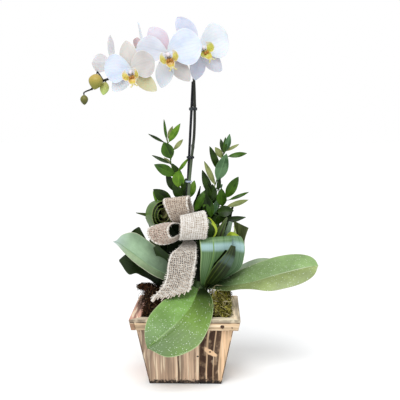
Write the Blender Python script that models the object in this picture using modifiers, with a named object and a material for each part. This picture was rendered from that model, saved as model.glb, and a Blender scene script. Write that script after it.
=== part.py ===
"""Potted moth orchid: a flowering Phalaenopsis in a square tapered wooden planter, dressed with moss,
ruscus sprays, looped leaves and a burlap bow tied round its flower spike and stake.

Metres, +Z up. The front faces -Y and the origin is the centre of the planter's underside.
Points are written in millimetres.
"""

import math

import bmesh
import bpy
from mathutils import Matrix, Vector, noise

MM = 0.001
GAP = 0.3 * MM
WELD = 0.01 * MM
UP = Vector((0, 0, 1))
FRONT = Vector((0, -1, 0))
RIGHT = Vector((1, 0, 0))

# Planter
WALL_HEIGHT = 106 * MM
BASE_HALF = 57 * MM
FLARE = 0.2
WALL = 8 * MM
WALL_ACROSS = WALL * math.hypot(1, FLARE)
SEAM_GAP = 0.5 * MM
SEAMS = {"front": 22 * MM, "right": -14 * MM, "back": 9 * MM, "left": 17 * MM}
BOARD_EDGE = 0.8 * MM
FLOOR = 8 * MM
BATTEN = 7 * MM
BATTEN_HEIGHT = 13 * MM
CAP = 4.5 * MM
CAP_WIDTH = 18 * MM
RIM_HALF = 86 * MM

# Soil and moss
MIX_TOP = 97 * MM
MIX_CLEARANCE = 0.4 * MM
MOSS_HALF = 67.4 * MM
MOSS_SEAM = 4 * MM
MOSS_EDGE_TOP = 105 * MM
MOSS_DOME = 17 * MM
MOSS_STEP = 16 * MM
MOSS_LUMP = 5 * MM
MOSS_LUMP_SIZE = 21 * MM
FOOT = 106
FOOT_CLEARANCE = 0.8 * MM
FOOT_TOP = 140
HOLE_LENGTH = 48 * MM

# Orchid
CROWN_CENTRE = Vector((20, -5, 134)) * MM
CROWN_RADII = Vector((12, 9, 27)) * MM
LEAF = 1.8 * MM
SPIKE_RADIUS = 2.4 * MM
SPIKE_END = 0.6
PEDICEL_RADIUS = 1.4 * MM
STAKE_RADIUS = 1.5 * MM
PETAL = 0.8 * MM
PETAL_FOLD = 0.12
PETAL_CLAW = 2.5 * MM
HUB_RADIUS = 4.5 * MM
STALK_REACH = 31 * MM
STALK_DROP = 8 * MM
BUD_SPUR = Vector((9, 6, -2)) * MM
BUD_STALK_RISE = 3.5 * MM
BUD_STALK_RADIUS = 1.1 * MM

# Dressing
STEM_RADIUS = 1.3 * MM
RUSCUS = 0.8 * MM
RUSCUS_BREADTH = 1.15
PETIOLE_HALF = 1.0 * MM
PETIOLE_LENGTH = 5 * MM
LOOP_LEAF = 1.2 * MM
COLLAR_WALL = 1.6 * MM
RIBBON = 1.2 * MM
TIE_HEIGHT = 15 * MM
TIE_WALL = 2.5 * MM
COLLAR_SIDES = 12
RUSCUS_BULGE = 1.5 * MM


def mm(points):
    """Points given in millimetres, as vectors in metres."""
    return [Vector(point) * MM for point in points]


def clear_scene():
    for old in list(bpy.data.objects):
        bpy.data.objects.remove(old)


def make_collection(name, hidden=False):
    made = bpy.data.collections.new(name)
    bpy.context.scene.collection.children.link(made)
    made.hide_render = hidden
    return made


def make_material(name, colour, roughness):
    material = bpy.data.materials.new(name)
    material.use_nodes = True
    shader = material.node_tree.nodes["Principled BSDF"]
    shader.inputs["Base Color"].default_value = (*colour, 1)
    shader.inputs["Roughness"].default_value = roughness
    shader.inputs["Metallic"].default_value = 0
    return material


clear_scene()
PARTS = make_collection("potted_orchid")
CUTTERS = make_collection("cutters", hidden=True)
WOOD = make_material("torched_wood", (0.55, 0.36, 0.22), 0.75)
SOIL = make_material("soil", (0.05, 0.035, 0.025), 0.95)
MOSS_BROWN = make_material("moss_brown", (0.06, 0.045, 0.025), 0.95)
MOSS_OLIVE = make_material("moss_olive", (0.24, 0.23, 0.07), 0.95)
ORCHID_GREEN = make_material("orchid_leaf", (0.15, 0.32, 0.1), 0.4)
STEM_GREEN = make_material("spike_green", (0.06, 0.1, 0.04), 0.5)
STAKE_BLACK = make_material("stake_black", (0.01, 0.015, 0.025), 0.4)
CLIP_BLUE = make_material("clip_blue", (0.5, 0.6, 0.75), 0.4)
PETAL_WHITE = make_material("petal_white", (0.85, 0.84, 0.88), 0.5)
LIP_YELLOW = make_material("lip_yellow", (0.75, 0.45, 0.05), 0.45)
BUD_GREEN = make_material("bud_green", (0.3, 0.32, 0.08), 0.5)
RUSCUS_GREEN = make_material("ruscus_green", (0.04, 0.1, 0.02), 0.35)
LOOP_GREEN = make_material("loop_green", (0.05, 0.13, 0.08), 0.35)
STRIP_GREEN = make_material("strip_green", (0.03, 0.07, 0.04), 0.4)
BURLAP = make_material("burlap", (0.5, 0.4, 0.31), 0.95)


def add_object(name, bm, material, collection=PARTS, smooth=True):
    mesh = bpy.data.meshes.new(name)
    bm.to_mesh(mesh)
    bm.free()
    mesh.materials.append(material)
    if smooth:
        mesh.shade_smooth()
        mesh.set_sharp_from_angle(angle=math.radians(40))
    made = bpy.data.objects.new(name, mesh)
    collection.objects.link(made)
    return made


def fuse(pieces):
    """Joins the pieces into the first of them and removes the others."""
    body, *others = pieces
    joined = make_collection("joined")
    for piece in others:
        for old in list(piece.users_collection):
            old.objects.unlink(piece)
        joined.objects.link(piece)
    union = body.modifiers.new("Union", "BOOLEAN")
    union.operation = "UNION"
    union.operand_type = "COLLECTION"
    union.collection = joined
    union.solver = "EXACT"
    graph = bpy.context.evaluated_depsgraph_get()
    mesh = bpy.data.meshes.new_from_object(body.evaluated_get(graph))
    body.modifiers.clear()
    body.data = mesh
    for piece in others:
        bpy.data.objects.remove(piece)
    bpy.data.collections.remove(joined)
    return body


def block(name, corner, material):
    """A cube whose corners, named by three numbers that are 0 or 1, are placed by a rule."""
    bm = bmesh.new()
    bmesh.ops.create_cube(bm, size=1)
    for vert in bm.verts:
        vert.co = corner(*(round(c + 0.5) for c in vert.co))
    bmesh.ops.recalc_face_normals(bm, faces=bm.faces)
    made = add_object(name, bm, material, smooth=False)
    bevel = made.modifiers.new("Bevel", "BEVEL")
    bevel.width = BOARD_EDGE
    bevel.segments = 1
    return made


def ellipsoid(name, centre, radii, material, axis=UP, sides=10, rings=7, collection=PARTS):
    """An egg whose third radius lies along the axis."""
    turn = UP.rotation_difference(axis)
    bm = bmesh.new()
    bmesh.ops.create_uvsphere(bm, u_segments=sides, v_segments=rings, radius=1)
    for vert in bm.verts:
        vert.co = turn @ Vector(c * r for c, r in zip(vert.co, radii)) + centre
    return add_object(name, bm, material, collection)


def smooth_path(points, shares):
    """Points on a smooth curve through the given ones, at shares of its length from 0 to 1."""
    times = [0.0]
    for a, b in zip(points, points[1:]):
        times.append(times[-1] + (b - a).length)
    last = len(points) - 1

    def slope(i):
        low, high = max(i - 1, 0), min(i + 1, last)
        return (points[high] - points[low]) / (times[high] - times[low])

    found = []
    for share in shares:
        time = share * times[-1]
        i = max(k for k in range(last) if k == 0 or times[k] <= time)
        step = times[i + 1] - times[i]
        t = (time - times[i]) / step
        found.append(
            points[i] * (2 * t**3 - 3 * t**2 + 1)
            + slope(i) * step * (t**3 - 2 * t**2 + t)
            + points[i + 1] * (3 * t**2 - 2 * t**3)
            + slope(i + 1) * step * (t**3 - t**2)
        )
    return found


def even(count):
    return [i / count for i in range(count + 1)]


def rounded(count):
    """Shares that crowd towards both ends, where a leaf's outline turns fastest."""
    return [(1 - math.cos(math.pi * share)) / 2 for share in even(count)]


def nearest(path, target):
    return min(path, key=lambda point: (point - target).length)


def at_height(path, height):
    """Where a rising path passes a height."""
    for low, high in zip(path, path[1:]):
        if low.z <= height <= high.z:
            return low.lerp(high, (height - low.z) / (high.z - low.z))
    return path[-1]


def tube(name, path, radius, material, end=1.0, resolution=1, collection=PARTS):
    """A round stem along a path, with its radius shrinking steadily to the given share of it."""
    curve = bpy.data.curves.new(name, "CURVE")
    curve.dimensions = "3D"
    curve.bevel_depth = radius
    curve.bevel_resolution = resolution
    curve.use_fill_caps = True
    spline = curve.splines.new("POLY")
    spline.points.add(len(path) - 1)
    for i, (point, place) in enumerate(zip(spline.points, path)):
        point.co = (*place, 1)
        point.radius = 1 + (end - 1) * i / (len(path) - 1)
    stem = bpy.data.objects.new(name, curve)
    collection.objects.link(stem)
    graph = bpy.context.evaluated_depsgraph_get()
    mesh = bpy.data.meshes.new_from_object(stem.evaluated_get(graph))
    bpy.data.objects.remove(stem)
    bm = bmesh.new()
    bm.from_mesh(mesh)
    bmesh.ops.remove_doubles(bm, verts=bm.verts, dist=WELD)
    return add_object(name, bm, material, collection)


def skin(name, rows, material, thickness):
    """A thin sheet through rows of points, split into triangles before it gets its thickness."""
    bm = bmesh.new()
    grid = [[bm.verts.new(point) for point in row] for row in rows]
    for low, high in zip(grid, grid[1:]):
        for a, b, c, d in zip(low, low[1:], high[1:], high):
            bm.faces.new((a, b, c, d))
    bmesh.ops.remove_doubles(bm, verts=bm.verts, dist=WELD)
    bmesh.ops.triangulate(bm, faces=bm.faces)
    made = add_object(name, bm, material)
    shell = made.modifiers.new("Thickness", "SOLIDIFY")
    shell.thickness = thickness
    shell.offset = 0
    return made


def loft(name, rails, shares, columns, material, thickness, ripple=0, waves=3):
    """A sheet through a left edge, a middle line with a slight crease and a right edge."""
    left, middle, right = (smooth_path(mm(rail), shares) for rail in rails)
    last = len(shares) - 1
    rows = []
    for i, share in enumerate(shares):
        a, b, c = left[i], middle[i], right[i]
        along = middle[min(i + 1, last)] - middle[max(i - 1, 0)]
        wave = (c - a).cross(along).normalized() * ripple * math.sin(2 * math.pi * waves * share)
        row = []
        for column in range(columns + 1):
            t = 2 * column / columns - 1
            curved = a * t * (t - 1) / 2 + b * (1 - t * t) + c * t * (t + 1) / 2
            creased = b.lerp(c if t > 0 else a, abs(t))
            row.append((curved + creased) / 2 + wave * t)
        rows.append(row)
    return skin(name, rows, material, thickness)


def blade(name, path, across, half_widths, material, thickness, fold=0, columns=2):
    """A strip along a path. Fold lifts both edges, as a share of the half width."""
    last = len(path) - 1
    rows = []
    for i, (centre, side, half) in enumerate(zip(path, across, half_widths)):
        along = path[min(i + 1, last)] - path[max(i - 1, 0)]
        lift = side.cross(along).normalized()
        row = []
        for column in range(columns + 1):
            out = 2 * column / columns - 1
            row.append(centre + side * out * half + lift * fold * abs(out) * half)
        rows.append(row)
    return skin(name, rows, material, thickness)


def oval(shares, half, fullness=0.7, lean=1.0, start=0.0):
    """Half widths of a leaf with a pointed tip; lean above 1 moves its widest place towards it."""
    widths = [half * math.sin(math.pi * share**lean) ** fullness for share in shares[:-1]]
    return [max(width, start) for width in widths] + [0]


def spread(values, shares):
    """The values, laid out evenly and joined by straight lines, at the given shares; in millimetres."""
    last = len(values) - 1
    found = []
    for share in shares:
        i = min(int(share * last), last - 1)
        t = share * last - i
        found.append((values[i] * (1 - t) + values[i + 1] * t) * MM)
    return found


def foot_hole(path, radius):
    """A cutter for the plain hole in the moss in which a stem stands."""
    along = (path[1] - path[0]).normalized()
    ends = [path[0] - along * GAP, path[0] + along * HOLE_LENGTH]
    hole = tube("foot_hole", ends, radius + FOOT_CLEARANCE, SOIL, resolution=2, collection=CUTTERS)
    hole.hide_render = True
    hole.display_type = "WIRE"


# Planter


def outer_half(height):
    return BASE_HALF + FLARE * height


def build_wall(side, turn):
    """Two boards side by side; front and back walls run over the ends of the other two."""
    seam = SEAMS[side]

    def corner(first, last, i, j, k):
        height = k * WALL_HEIGHT
        reach = outer_half(height)
        if side in ("left", "right"):
            reach -= WALL_ACROSS + GAP
        along = (-reach if first else seam + SEAM_GAP / 2, reach if last else seam - SEAM_GAP / 2)[i]
        return turn @ Vector((along, -outer_half(height) + j * WALL_ACROSS, height))

    block(f"wall_{side}_a", lambda i, j, k: corner(True, False, i, j, k), WOOD)
    block(f"wall_{side}_b", lambda i, j, k: corner(False, True, i, j, k), WOOD)


def build_rim(side, turn):
    """One batten that butts against the next one, and one mitred cap strip above it."""

    def batten(i, j, k):
        height = WALL_HEIGHT - (1 - k) * BATTEN_HEIGHT
        inner = outer_half(height) + GAP
        outer = inner + BATTEN
        return turn @ Vector(((-inner + GAP, outer)[i], -(outer, inner)[j], height))

    def cap(i, j, k):
        reach = RIM_HALF - j * CAP_WIDTH
        along = reach - GAP
        return turn @ Vector(((-along, along)[i], -reach, WALL_HEIGHT + GAP + k * CAP))

    block(f"batten_{side}", batten, WOOD)
    block(f"cap_{side}", cap, WOOD)


def slab(name, low, high, clearance, material):
    """A tapered block that fills the planter between two heights."""

    def corner(i, j, k):
        height = (low, high)[k]
        half = outer_half(height) - WALL_ACROSS - clearance
        return Vector(((-half, half)[i], (-half, half)[j], height))

    return block(name, corner, material)


def build_planter():
    for count, side in enumerate(SEAMS):
        turn = Matrix.Rotation(math.radians(90 * count), 3, "Z")
        build_wall(side, turn)
        build_rim(side, turn)
    slab("bottom_board", 0, FLOOR, GAP, WOOD)
    slab("potting_mix", FLOOR + GAP, MIX_TOP, MIX_CLEARANCE, SOIL)


# Moss


def moss_height(x, y):
    dome = (1 - (x / MOSS_HALF) ** 2) * (1 - (y / MOSS_HALF) ** 2)
    bumps = noise.noise(Vector((x, y, 0)) / MOSS_LUMP_SIZE)
    return MOSS_EDGE_TOP + MOSS_DOME * dome + MOSS_LUMP * bumps


def moss_bed(name, left, right, material):
    """One clump: a bumpy top over a flat underside that lies on the soil."""
    across = round((right - left) / MOSS_STEP)
    deep = round(2 * MOSS_HALF / MOSS_STEP)
    bottom = MIX_TOP + GAP
    bm = bmesh.new()
    top = []
    for i in range(across + 1):
        x = left + (right - left) * i / across
        line = [-MOSS_HALF + 2 * MOSS_HALF * j / deep for j in range(deep + 1)]
        top.append([bm.verts.new((x, y, moss_height(x, y))) for y in line])
    for low, high in zip(top, top[1:]):
        for a, b, c, d in zip(low, low[1:], high[1:], high):
            bm.faces.new((a, d, c, b))
    rim = [edge for edge in bm.edges if edge.is_boundary]
    walls = bmesh.ops.extrude_edge_only(bm, edges=rim)["geom"]
    for vert in walls:
        if isinstance(vert, bmesh.types.BMVert):
            vert.co.z = bottom
    bmesh.ops.contextual_create(bm, geom=[edge for edge in bm.edges if edge.is_boundary])
    bmesh.ops.triangulate(bm, faces=bm.faces)
    bmesh.ops.recalc_face_normals(bm, faces=bm.faces)
    return add_object(name, bm, material)


def moss_lump(centre, radii, material):
    lump = ellipsoid("lump", Vector(centre) * MM, Vector(radii) * MM, material, sides=7, rings=5)
    for vert in lump.data.vertices:
        vert.co += vert.normal * MOSS_LUMP * noise.noise(vert.co * 2 / MOSS_LUMP_SIZE)
    return lump


def build_moss():
    brown = [
        moss_bed("moss_left", -MOSS_HALF, MOSS_SEAM - GAP, MOSS_BROWN),
        moss_lump((-54, -14, 124), (18, 21, 18), MOSS_BROWN),
        moss_lump((-50, -48, 114), (15, 16, 13), MOSS_BROWN),
        moss_lump((-20, -32, 120), (17, 14, 15), MOSS_BROWN),
        moss_lump((-56, 34, 118), (14, 20, 14), MOSS_BROWN),
    ]
    olive = [
        moss_bed("moss_right", MOSS_SEAM, MOSS_HALF, MOSS_OLIVE),
        moss_lump((56, -24, 122), (14, 19, 15), MOSS_OLIVE),
        moss_lump((57, 12, 120), (12, 18, 13), MOSS_OLIVE),
        moss_lump((40, -16, 119), (15, 14, 16), MOSS_OLIVE),
        moss_lump((50, -52, 112), (16, 14, 11), MOSS_OLIVE),
    ]
    for pieces in (brown, olive):
        moss = fuse(pieces)
        holes = moss.modifiers.new("Holes", "BOOLEAN")
        holes.operation = "DIFFERENCE"
        holes.operand_type = "COLLECTION"
        holes.collection = CUTTERS
        holes.solver = "EXACT"


# Orchid plant

# Each leaf: left edge, midrib and right edge from the crown to the tip.
FRONT_LEAF = (
    [(13, -6, 148), (-9, -38, 145), (-36, -66, 134), (-53, -90, 119), (-59, -106, 103), (-58, -117, 88),
     (-54, -124, 77)],
    [(20, -6, 146), (18, -42, 139), (11, -72, 127), (-3, -94, 114), (-24, -108, 99), (-43, -118, 87),
     (-54, -124, 77)],
    [(27, -6, 146), (40, -42, 139), (44, -72, 124), (36, -100, 99), (17, -117, 79), (-24, -129, 68),
     (-54, -124, 77)],
)
LEFT_LEAF = (
    [(18, 0, 154), (-6, -9, 177), (-30, -6, 195), (-58, -6, 218), (-84, -10, 233), (-103, -18, 236),
     (-116, -30, 224)],
    [(18, -6, 150), (-10, -24, 167), (-35, -30, 181), (-60, -32, 199), (-87, -32, 215),
     (-104, -32, 223), (-116, -30, 224)],
    [(17, -12, 147), (-9, -34, 154), (-33, -42, 165), (-66, -44, 184), (-91, -40, 206),
     (-108, -34, 219), (-116, -30, 224)],
)
RIGHT_LEAF = (
    [(24, 0, 152), (65, 6, 157), (101, 10, 174), (138, 8, 190), (167, 4, 199), (193, -6, 200),
     (212, -20, 186)],
    [(24, -5, 148), (61, -14, 152), (92, -18, 160), (122, -20, 168), (159, -20, 178), (188, -20, 184),
     (212, -20, 186)],
    [(24, -10, 144), (57, -30, 145), (103, -40, 146), (140, -42, 149), (176, -40, 158), (199, -32, 171),
     (212, -20, 186)],
)
BACK_LEAF = (
    [(20, 2, 153), (40, 26, 162), (62, 36, 170), (90, 42, 181), (112, 43, 187), (130, 46, 189),
     (142, 46, 183)],
    [(20, 1, 150), (40, 22, 157), (62, 30, 163), (91, 33, 170), (112, 35, 176), (130, 40, 180),
     (142, 46, 183)],
    [(21, 0, 147), (41, 18, 152), (63, 24, 155), (94, 26, 159), (114, 29, 165), (132, 36, 171),
     (142, 46, 183)],
)


def build_orchid_plant():
    crown = ellipsoid("orchid_leaves", CROWN_CENTRE, CROWN_RADII, ORCHID_GREEN, sides=12, rings=8)
    leaves = [loft("leaf", rails, rounded(10), 4, ORCHID_GREEN, LEAF, ripple=0.8 * MM)
              for rails in (FRONT_LEAF, LEFT_LEAF, RIGHT_LEAF, BACK_LEAF)]
    fuse([crown, *leaves])
    hole = ellipsoid("crown_hole", CROWN_CENTRE, CROWN_RADII + Vector((1, 1, 1)) * GAP, SOIL,
                     sides=12, rings=8, collection=CUTTERS)
    hole.hide_render = True
    hole.display_type = "WIRE"


# Flowers

# Each bloom: centre, the way it faces, its lean in degrees and its size.
BLOOMS = {
    "a": ((-81, -52, 488), (-0.12, -0.98, -0.1), -12, 1.06),
    "b": ((-27, -28, 515), (0.08, -1.0, 0.0), -15, 1.2),
    "c": ((22, 10, 529), (0.5, -0.86, 0.05), -32, 1.22),
    "d": ((-121, 26, 509), (-0.88, 0.46, 0.05), 16, 1.0),
    "e": ((-73, 54, 538), (0.93, 0.36, 0.1), 2, 0.95),
}
# Each part of a bloom: the way it points in degrees, length, half width, set back, curl, lean.
PETALS = ((68, 46, 23, -1.2, 2, 1.35), (-68, 46, 23, -1.2, 2, 1.35))
SEPALS = ((0, 44, 14, 2.2, 5, 1.1), (124, 42, 13.5, 2.2, 4, 1.05), (-124, 42, 13.5, 2.2, 4, 1.05))
# Each bud: centre, the way its stalk end points, half width and half length.
BUDS = {
    "a": ((-142, -29, 475), (0.15, 0.12, 1), 10, 11),
    "b": ((-128, -18, 463), (0.15, 0.3, 1), 7.5, 11),
    "c": ((-160, -25, 448), (-0.05, 0.1, 1), 6.3, 8),
}
SPIKE = [
    (-1, 11, FOOT), (-1, 11, 130), (-1, 11, 154), (1, 11, 230), (3, 11, 300), (8, 11, 355), (12, 11, 392),
    (13, 11, 433), (12, 12, 478), (9, 19, 502), (-4, 26, 517), (-27, 24, 526), (-59, 14, 522),
    (-90, 4, 509),
    (-112, -4, 491), (-123, -8, 482), (-131, -10, 479), (-140, -12, 473), (-150, -15, 465),
]
STAKE = [(-9.6, 16, FOOT), (10, 16, 478)]


def bloom_frame(centre, facing, lean, size):
    """Places a bloom drawn facing +Z with its top sepal along +Y."""
    front = Vector(facing).normalized()
    side = UP.cross(front).normalized()
    top = front.cross(side)
    frame = Matrix((side, top, front)).transposed()
    tilt = Matrix.Rotation(math.radians(-lean), 3, "Z")
    place = (frame @ tilt * size).to_4x4()
    place.translation = Vector(centre) * MM
    return place


def flower_blade(place, angle, length, half, back, curl, lean, columns, count, fullness):
    """A petal or sepal that leaves the middle of the bloom and curls back towards its tip."""
    turn = math.radians(angle)
    out = Vector((math.sin(turn), math.cos(turn), 0))
    side = Vector((math.cos(turn), -math.sin(turn), 0))
    shares = rounded(count)
    path = [(out * length * share - Vector((0, 0, back + curl * share**2))) * MM for share in shares]
    half_widths = oval(shares, half * MM, fullness, lean, start=PETAL_CLAW)
    made = blade("petal", path, [side] * len(path), half_widths, PETAL_WHITE, PETAL,
                 fold=PETAL_FOLD, columns=columns)
    made.data.transform(place)
    return made


def build_bloom(name, place):
    hub = ellipsoid(f"bloom_{name}", Vector(), Vector((1, 1, 1)) * HUB_RADIUS, PETAL_WHITE,
                    sides=8, rings=6)
    column = ellipsoid("column", Vector((0, 2.5, 5)) * MM, Vector((2.8, 2.6, 5)) * MM, PETAL_WHITE,
                       sides=6, rings=5)
    for piece in (hub, column):
        piece.data.transform(place)
    petals = [flower_blade(place, *petal, columns=4, count=7, fullness=0.62) for petal in PETALS]
    sepals = [flower_blade(place, *sepal, columns=2, count=6, fullness=0.72) for sepal in SEPALS]
    fuse([hub, column, *petals, *sepals])


def build_lip(name, place):
    """Two side lobes beside the column and one middle lobe that hangs below."""
    base = ellipsoid(f"lip_{name}", Vector((0, -7.3, 4.2)) * MM, Vector((3.4, 3.1, 3.4)) * MM, LIP_YELLOW,
                     sides=8, rings=6)
    pieces = [base]
    shares = even(4)
    for side in (-1, 1):
        points = mm([(1.5 * side, -7.5, 5), (7 * side, -7, 9), (10.5 * side, -2, 12), (10 * side, 5, 14)])
        path = smooth_path(points, shares)
        across = [Vector((0.25 * side, -0.3, 1)).normalized()] * len(path)
        pieces.append(blade("side_lobe", path, across, [2 * MM, 5 * MM, 6.5 * MM, 5 * MM, 0],
                            LIP_YELLOW, PETAL))
    points = mm([(0, -7.5, 5), (0, -12, 9), (0, -18, 10), (0, -25, 7)])
    path = smooth_path(points, shares)
    widths = [2.5 * MM, 4 * MM, 8 * MM, 7 * MM, 0]
    pieces.append(blade("middle_lobe", path, [RIGHT] * len(path), widths, LIP_YELLOW, PETAL, fold=0.3))
    for piece in pieces:
        piece.data.transform(place)
    fuse(pieces)


def build_flowers():
    """The spike with all its flower stalks, the blooms and buds they carry."""
    spike_path = smooth_path(mm(SPIKE), even(30))
    pieces = [tube("flower_spike", spike_path, SPIKE_RADIUS, STEM_GREEN, end=SPIKE_END)]
    for name, bloom in BLOOMS.items():
        place = bloom_frame(*bloom)
        build_bloom(name, place)
        build_lip(name, place)
        centre = place.translation
        front = (place.to_3x3() @ UP).normalized()
        size = bloom[-1]
        behind = centre - front * (HUB_RADIUS * size + GAP)
        start = nearest(spike_path, centre - front * STALK_REACH - UP * STALK_DROP)
        path = smooth_path([start, behind - front * STALK_REACH / 2 - UP * STALK_DROP / 4, behind], even(5))
        pieces.append(tube("stalk", path, PEDICEL_RADIUS, STEM_GREEN))
    for name, (centre, axis, half, length) in BUDS.items():
        centre = Vector(centre) * MM
        axis = Vector(axis).normalized()
        ellipsoid(f"bud_{name}", centre, Vector((half, half, length)) * MM, BUD_GREEN, axis=axis,
                  sides=9, rings=7)
        top = centre + axis * (length * MM + 2 * GAP)
        start = nearest(spike_path, top + BUD_SPUR)
        path = smooth_path([start, top + axis * BUD_STALK_RISE, top], even(4))
        pieces.append(tube("stalk", path, BUD_STALK_RADIUS, STEM_GREEN))
    fuse(pieces)
    foot_hole(spike_path[:2], SPIKE_RADIUS)
    return spike_path


def collar(name, spike_path, low, height, wall, material):
    """A band round spike and stake, standing off both by the gap."""
    middle = low + height / 2
    centres = [at_height(path, middle) for path in (spike_path, mm(STAKE))]
    between = centres[0] - centres[1]
    between.z = 0
    bm = bmesh.new()
    rings = []
    for reach, z in ((0, low), (wall, low), (wall, low + height), (0, low + height)):
        ring = []
        for step in range(COLLAR_SIDES):
            angle = 2 * math.pi * (step + 0.5) / COLLAR_SIDES
            out = Vector((math.cos(angle), math.sin(angle), 0))
            centre = centres[0] if out.dot(between) > 0 else centres[1]
            place = centre + out * (SPIKE_RADIUS + 2 * GAP + reach)
            place.z = z
            ring.append(bm.verts.new(place))
        rings.append(ring)
    for low_ring, high_ring in zip(rings, rings[1:] + rings[:1]):
        for i in range(COLLAR_SIDES):
            j = (i + 1) % COLLAR_SIDES
            bm.faces.new((low_ring[i], low_ring[j], high_ring[j], high_ring[i]))
    bmesh.ops.recalc_face_normals(bm, faces=bm.faces)
    return add_object(name, bm, material)


# Greenery

# Each leaf: share along the stem, angle from upright, length, half width, how far its tip leans forward.
LEFT_RUSCUS = (
    [(-2, 24, FOOT), (-2, 24, 150), (-2, 24, 219), (-12, 26, 298), (-22, 28, 326), (-28, 29, 353),
     (-33, 30, 384)],
    [(1.0, -8, 37, 3.4, 2), (1.0, 36, 36, 6.5, 6), (0.99, 20, 26, 5.5, -6), (0.99, -69, 34, 3.4, 3),
     (0.905, -33, 30, 9.5, 6), (0.95, 52, 29, 3.4, -4), (0.875, -69, 36, 5.7, -5),
     (0.82, -66, 34, 8.9, 4), (0.82, 45, 35, 4.8, -5), (0.775, 58, 20, 5, 5), (0.69, 8, 38, 11, -3),
     (0.68, -31, 40, 6.5, -6), (0.65, 34, 40, 6, -8), (0.7, -106, 50, 11, -3)],
)
RIGHT_RUSCUS = (
    [(26, 26, FOOT), (26, 26, 150), (26, 25, 219), (31, 27, 268), (49, 30, 318), (61, 31, 368)],
    [(1.0, 14, 28, 5, 2), (0.98, -16, 24, 5.5, -4), (1.0, 74, 25, 3.4, -3), (0.955, 80, 42, 5.7, 3),
     (0.9, -28, 38, 6.8, 4), (0.955, -46, 22, 4.8, -5), (0.8, 21, 50, 11, 7), (0.765, -22, 46, 7.5, -5),
     (0.73, -28, 42, 6.5, 5), (0.61, 6, 34, 6.5, -6), (0.61, -46, 30, 6, 4), (0.55, -14, 32, 6, -3)],
)
SIDE_RUSCUS = (
    [(42, 40, FOOT), (42, 40, 150), (45, 40, 217), (49, 40, 276), (58, 40, 312)],
    [(0.98, 7, 20, 4.3, 1), (0.87, 42, 50, 8, -4), (0.85, 74, 54, 4, 3), (0.79, 80, 54, 5.6, -5),
     (0.81, 26, 34, 7, 6), (0.69, 58, 36, 9.5, 4), (0.66, 84, 50, 5, -4), (0.74, -28, 34, 6, -6),
     (0.66, -12, 32, 7.5, 5)],
)


def build_spray(name, stem, leaves):
    path = smooth_path(mm(stem), even(9))
    pieces = [tube(name, path, STEM_RADIUS, RUSCUS_GREEN, end=0.7)]
    for share, angle, length, half, forward in leaves:
        turn = math.radians(angle)
        base = smooth_path(mm(stem), [share])[0]
        tip = base + Vector((math.sin(turn) * length, -forward, math.cos(turn) * length)) * MM
        along = (tip - base).normalized()
        middle = (base + tip) / 2 + FRONT * RUSCUS_BULGE
        shares = rounded(4)
        leaf_path = [base] + smooth_path([base + along * PETIOLE_LENGTH, middle, tip], shares)
        side = along.cross(FRONT + Vector((0.3 * math.sin(7 * share), 0, 0.25))).normalized()
        widths = [PETIOLE_HALF] + oval(shares, half * RUSCUS_BREADTH * MM, 0.8, 0.9, start=PETIOLE_HALF)
        pieces.append(blade("leaf", leaf_path, [side] * len(leaf_path), widths, RUSCUS_GREEN,
                            RUSCUS, fold=0.15))
    fuse(pieces)
    foot_hole(path[:2], STEM_RADIUS)


# Each looped leaf: left and right edge, from its foot in the moss round to its end, and the foot.
LOOPS = {
    "leaf_loop_front": (
        [(32, 5, 138), (32, 5, 160), (23, -14, 176), (21, -34, 194), (21, -44, 212), (22, -42, 229),
         (24, -30, 232), (26, -14, 214), (29, -4, 192)],
        [(34, 5, 138), (36, 5, 160), (38, -12, 174), (48, -30, 192), (61, -38, 214), (62, -36, 228),
         (60, -24, 231), (55, -10, 212), (42, -2, 192)],
        (33, 5)),
    "leaf_loop_right": (
        [(41, 13, 138), (42, 13, 158), (48, 4, 172), (56, -5, 190), (56, -9, 210), (57, -9, 226),
         (59, -4, 230), (58, 6, 212), (54, 10, 190)],
        [(43, 13, 138), (46, 12, 157), (66, 4, 170), (86, -9, 182), (94, -18, 205), (92, -14, 224),
         (90, -4, 229), (84, 6, 210), (68, 11, 190)],
        (42, 13)),
    "leaf_loop_back": (
        [(15, 12, 138), (11, 11, 165), (13, 8, 190), (25, 0, 225), (34, -6, 245), (37, -3, 253),
         (37, 5, 251), (33, 9, 228)],
        [(17, 12, 138), (24, 10, 165), (34, 8, 190), (47, -2, 225), (50, -7, 243), (49, -3, 249),
         (48, 5, 248), (43, 9, 228)],
        (16, 12)),
}


def footed(name, leaf, foot, material):
    """Fuses a leaf with the short stem on which it stands in the moss."""
    low = Vector((*foot, FOOT)) * MM
    high = Vector((*foot, FOOT_TOP)) * MM
    foot_hole([low, high], STEM_RADIUS)
    stem = tube(name, [low, high], STEM_RADIUS, material)
    fuse([stem, leaf])


def build_loops():
    for name, (left, right, foot) in LOOPS.items():
        middle = [(Vector(a) + Vector(b)) / 2 for a, b in zip(left, right)]
        leaf = loft("loop", (left, middle, right), even(14), 2, LOOP_GREEN, LOOP_LEAF)
        footed(name, leaf, foot, LOOP_GREEN)


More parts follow.
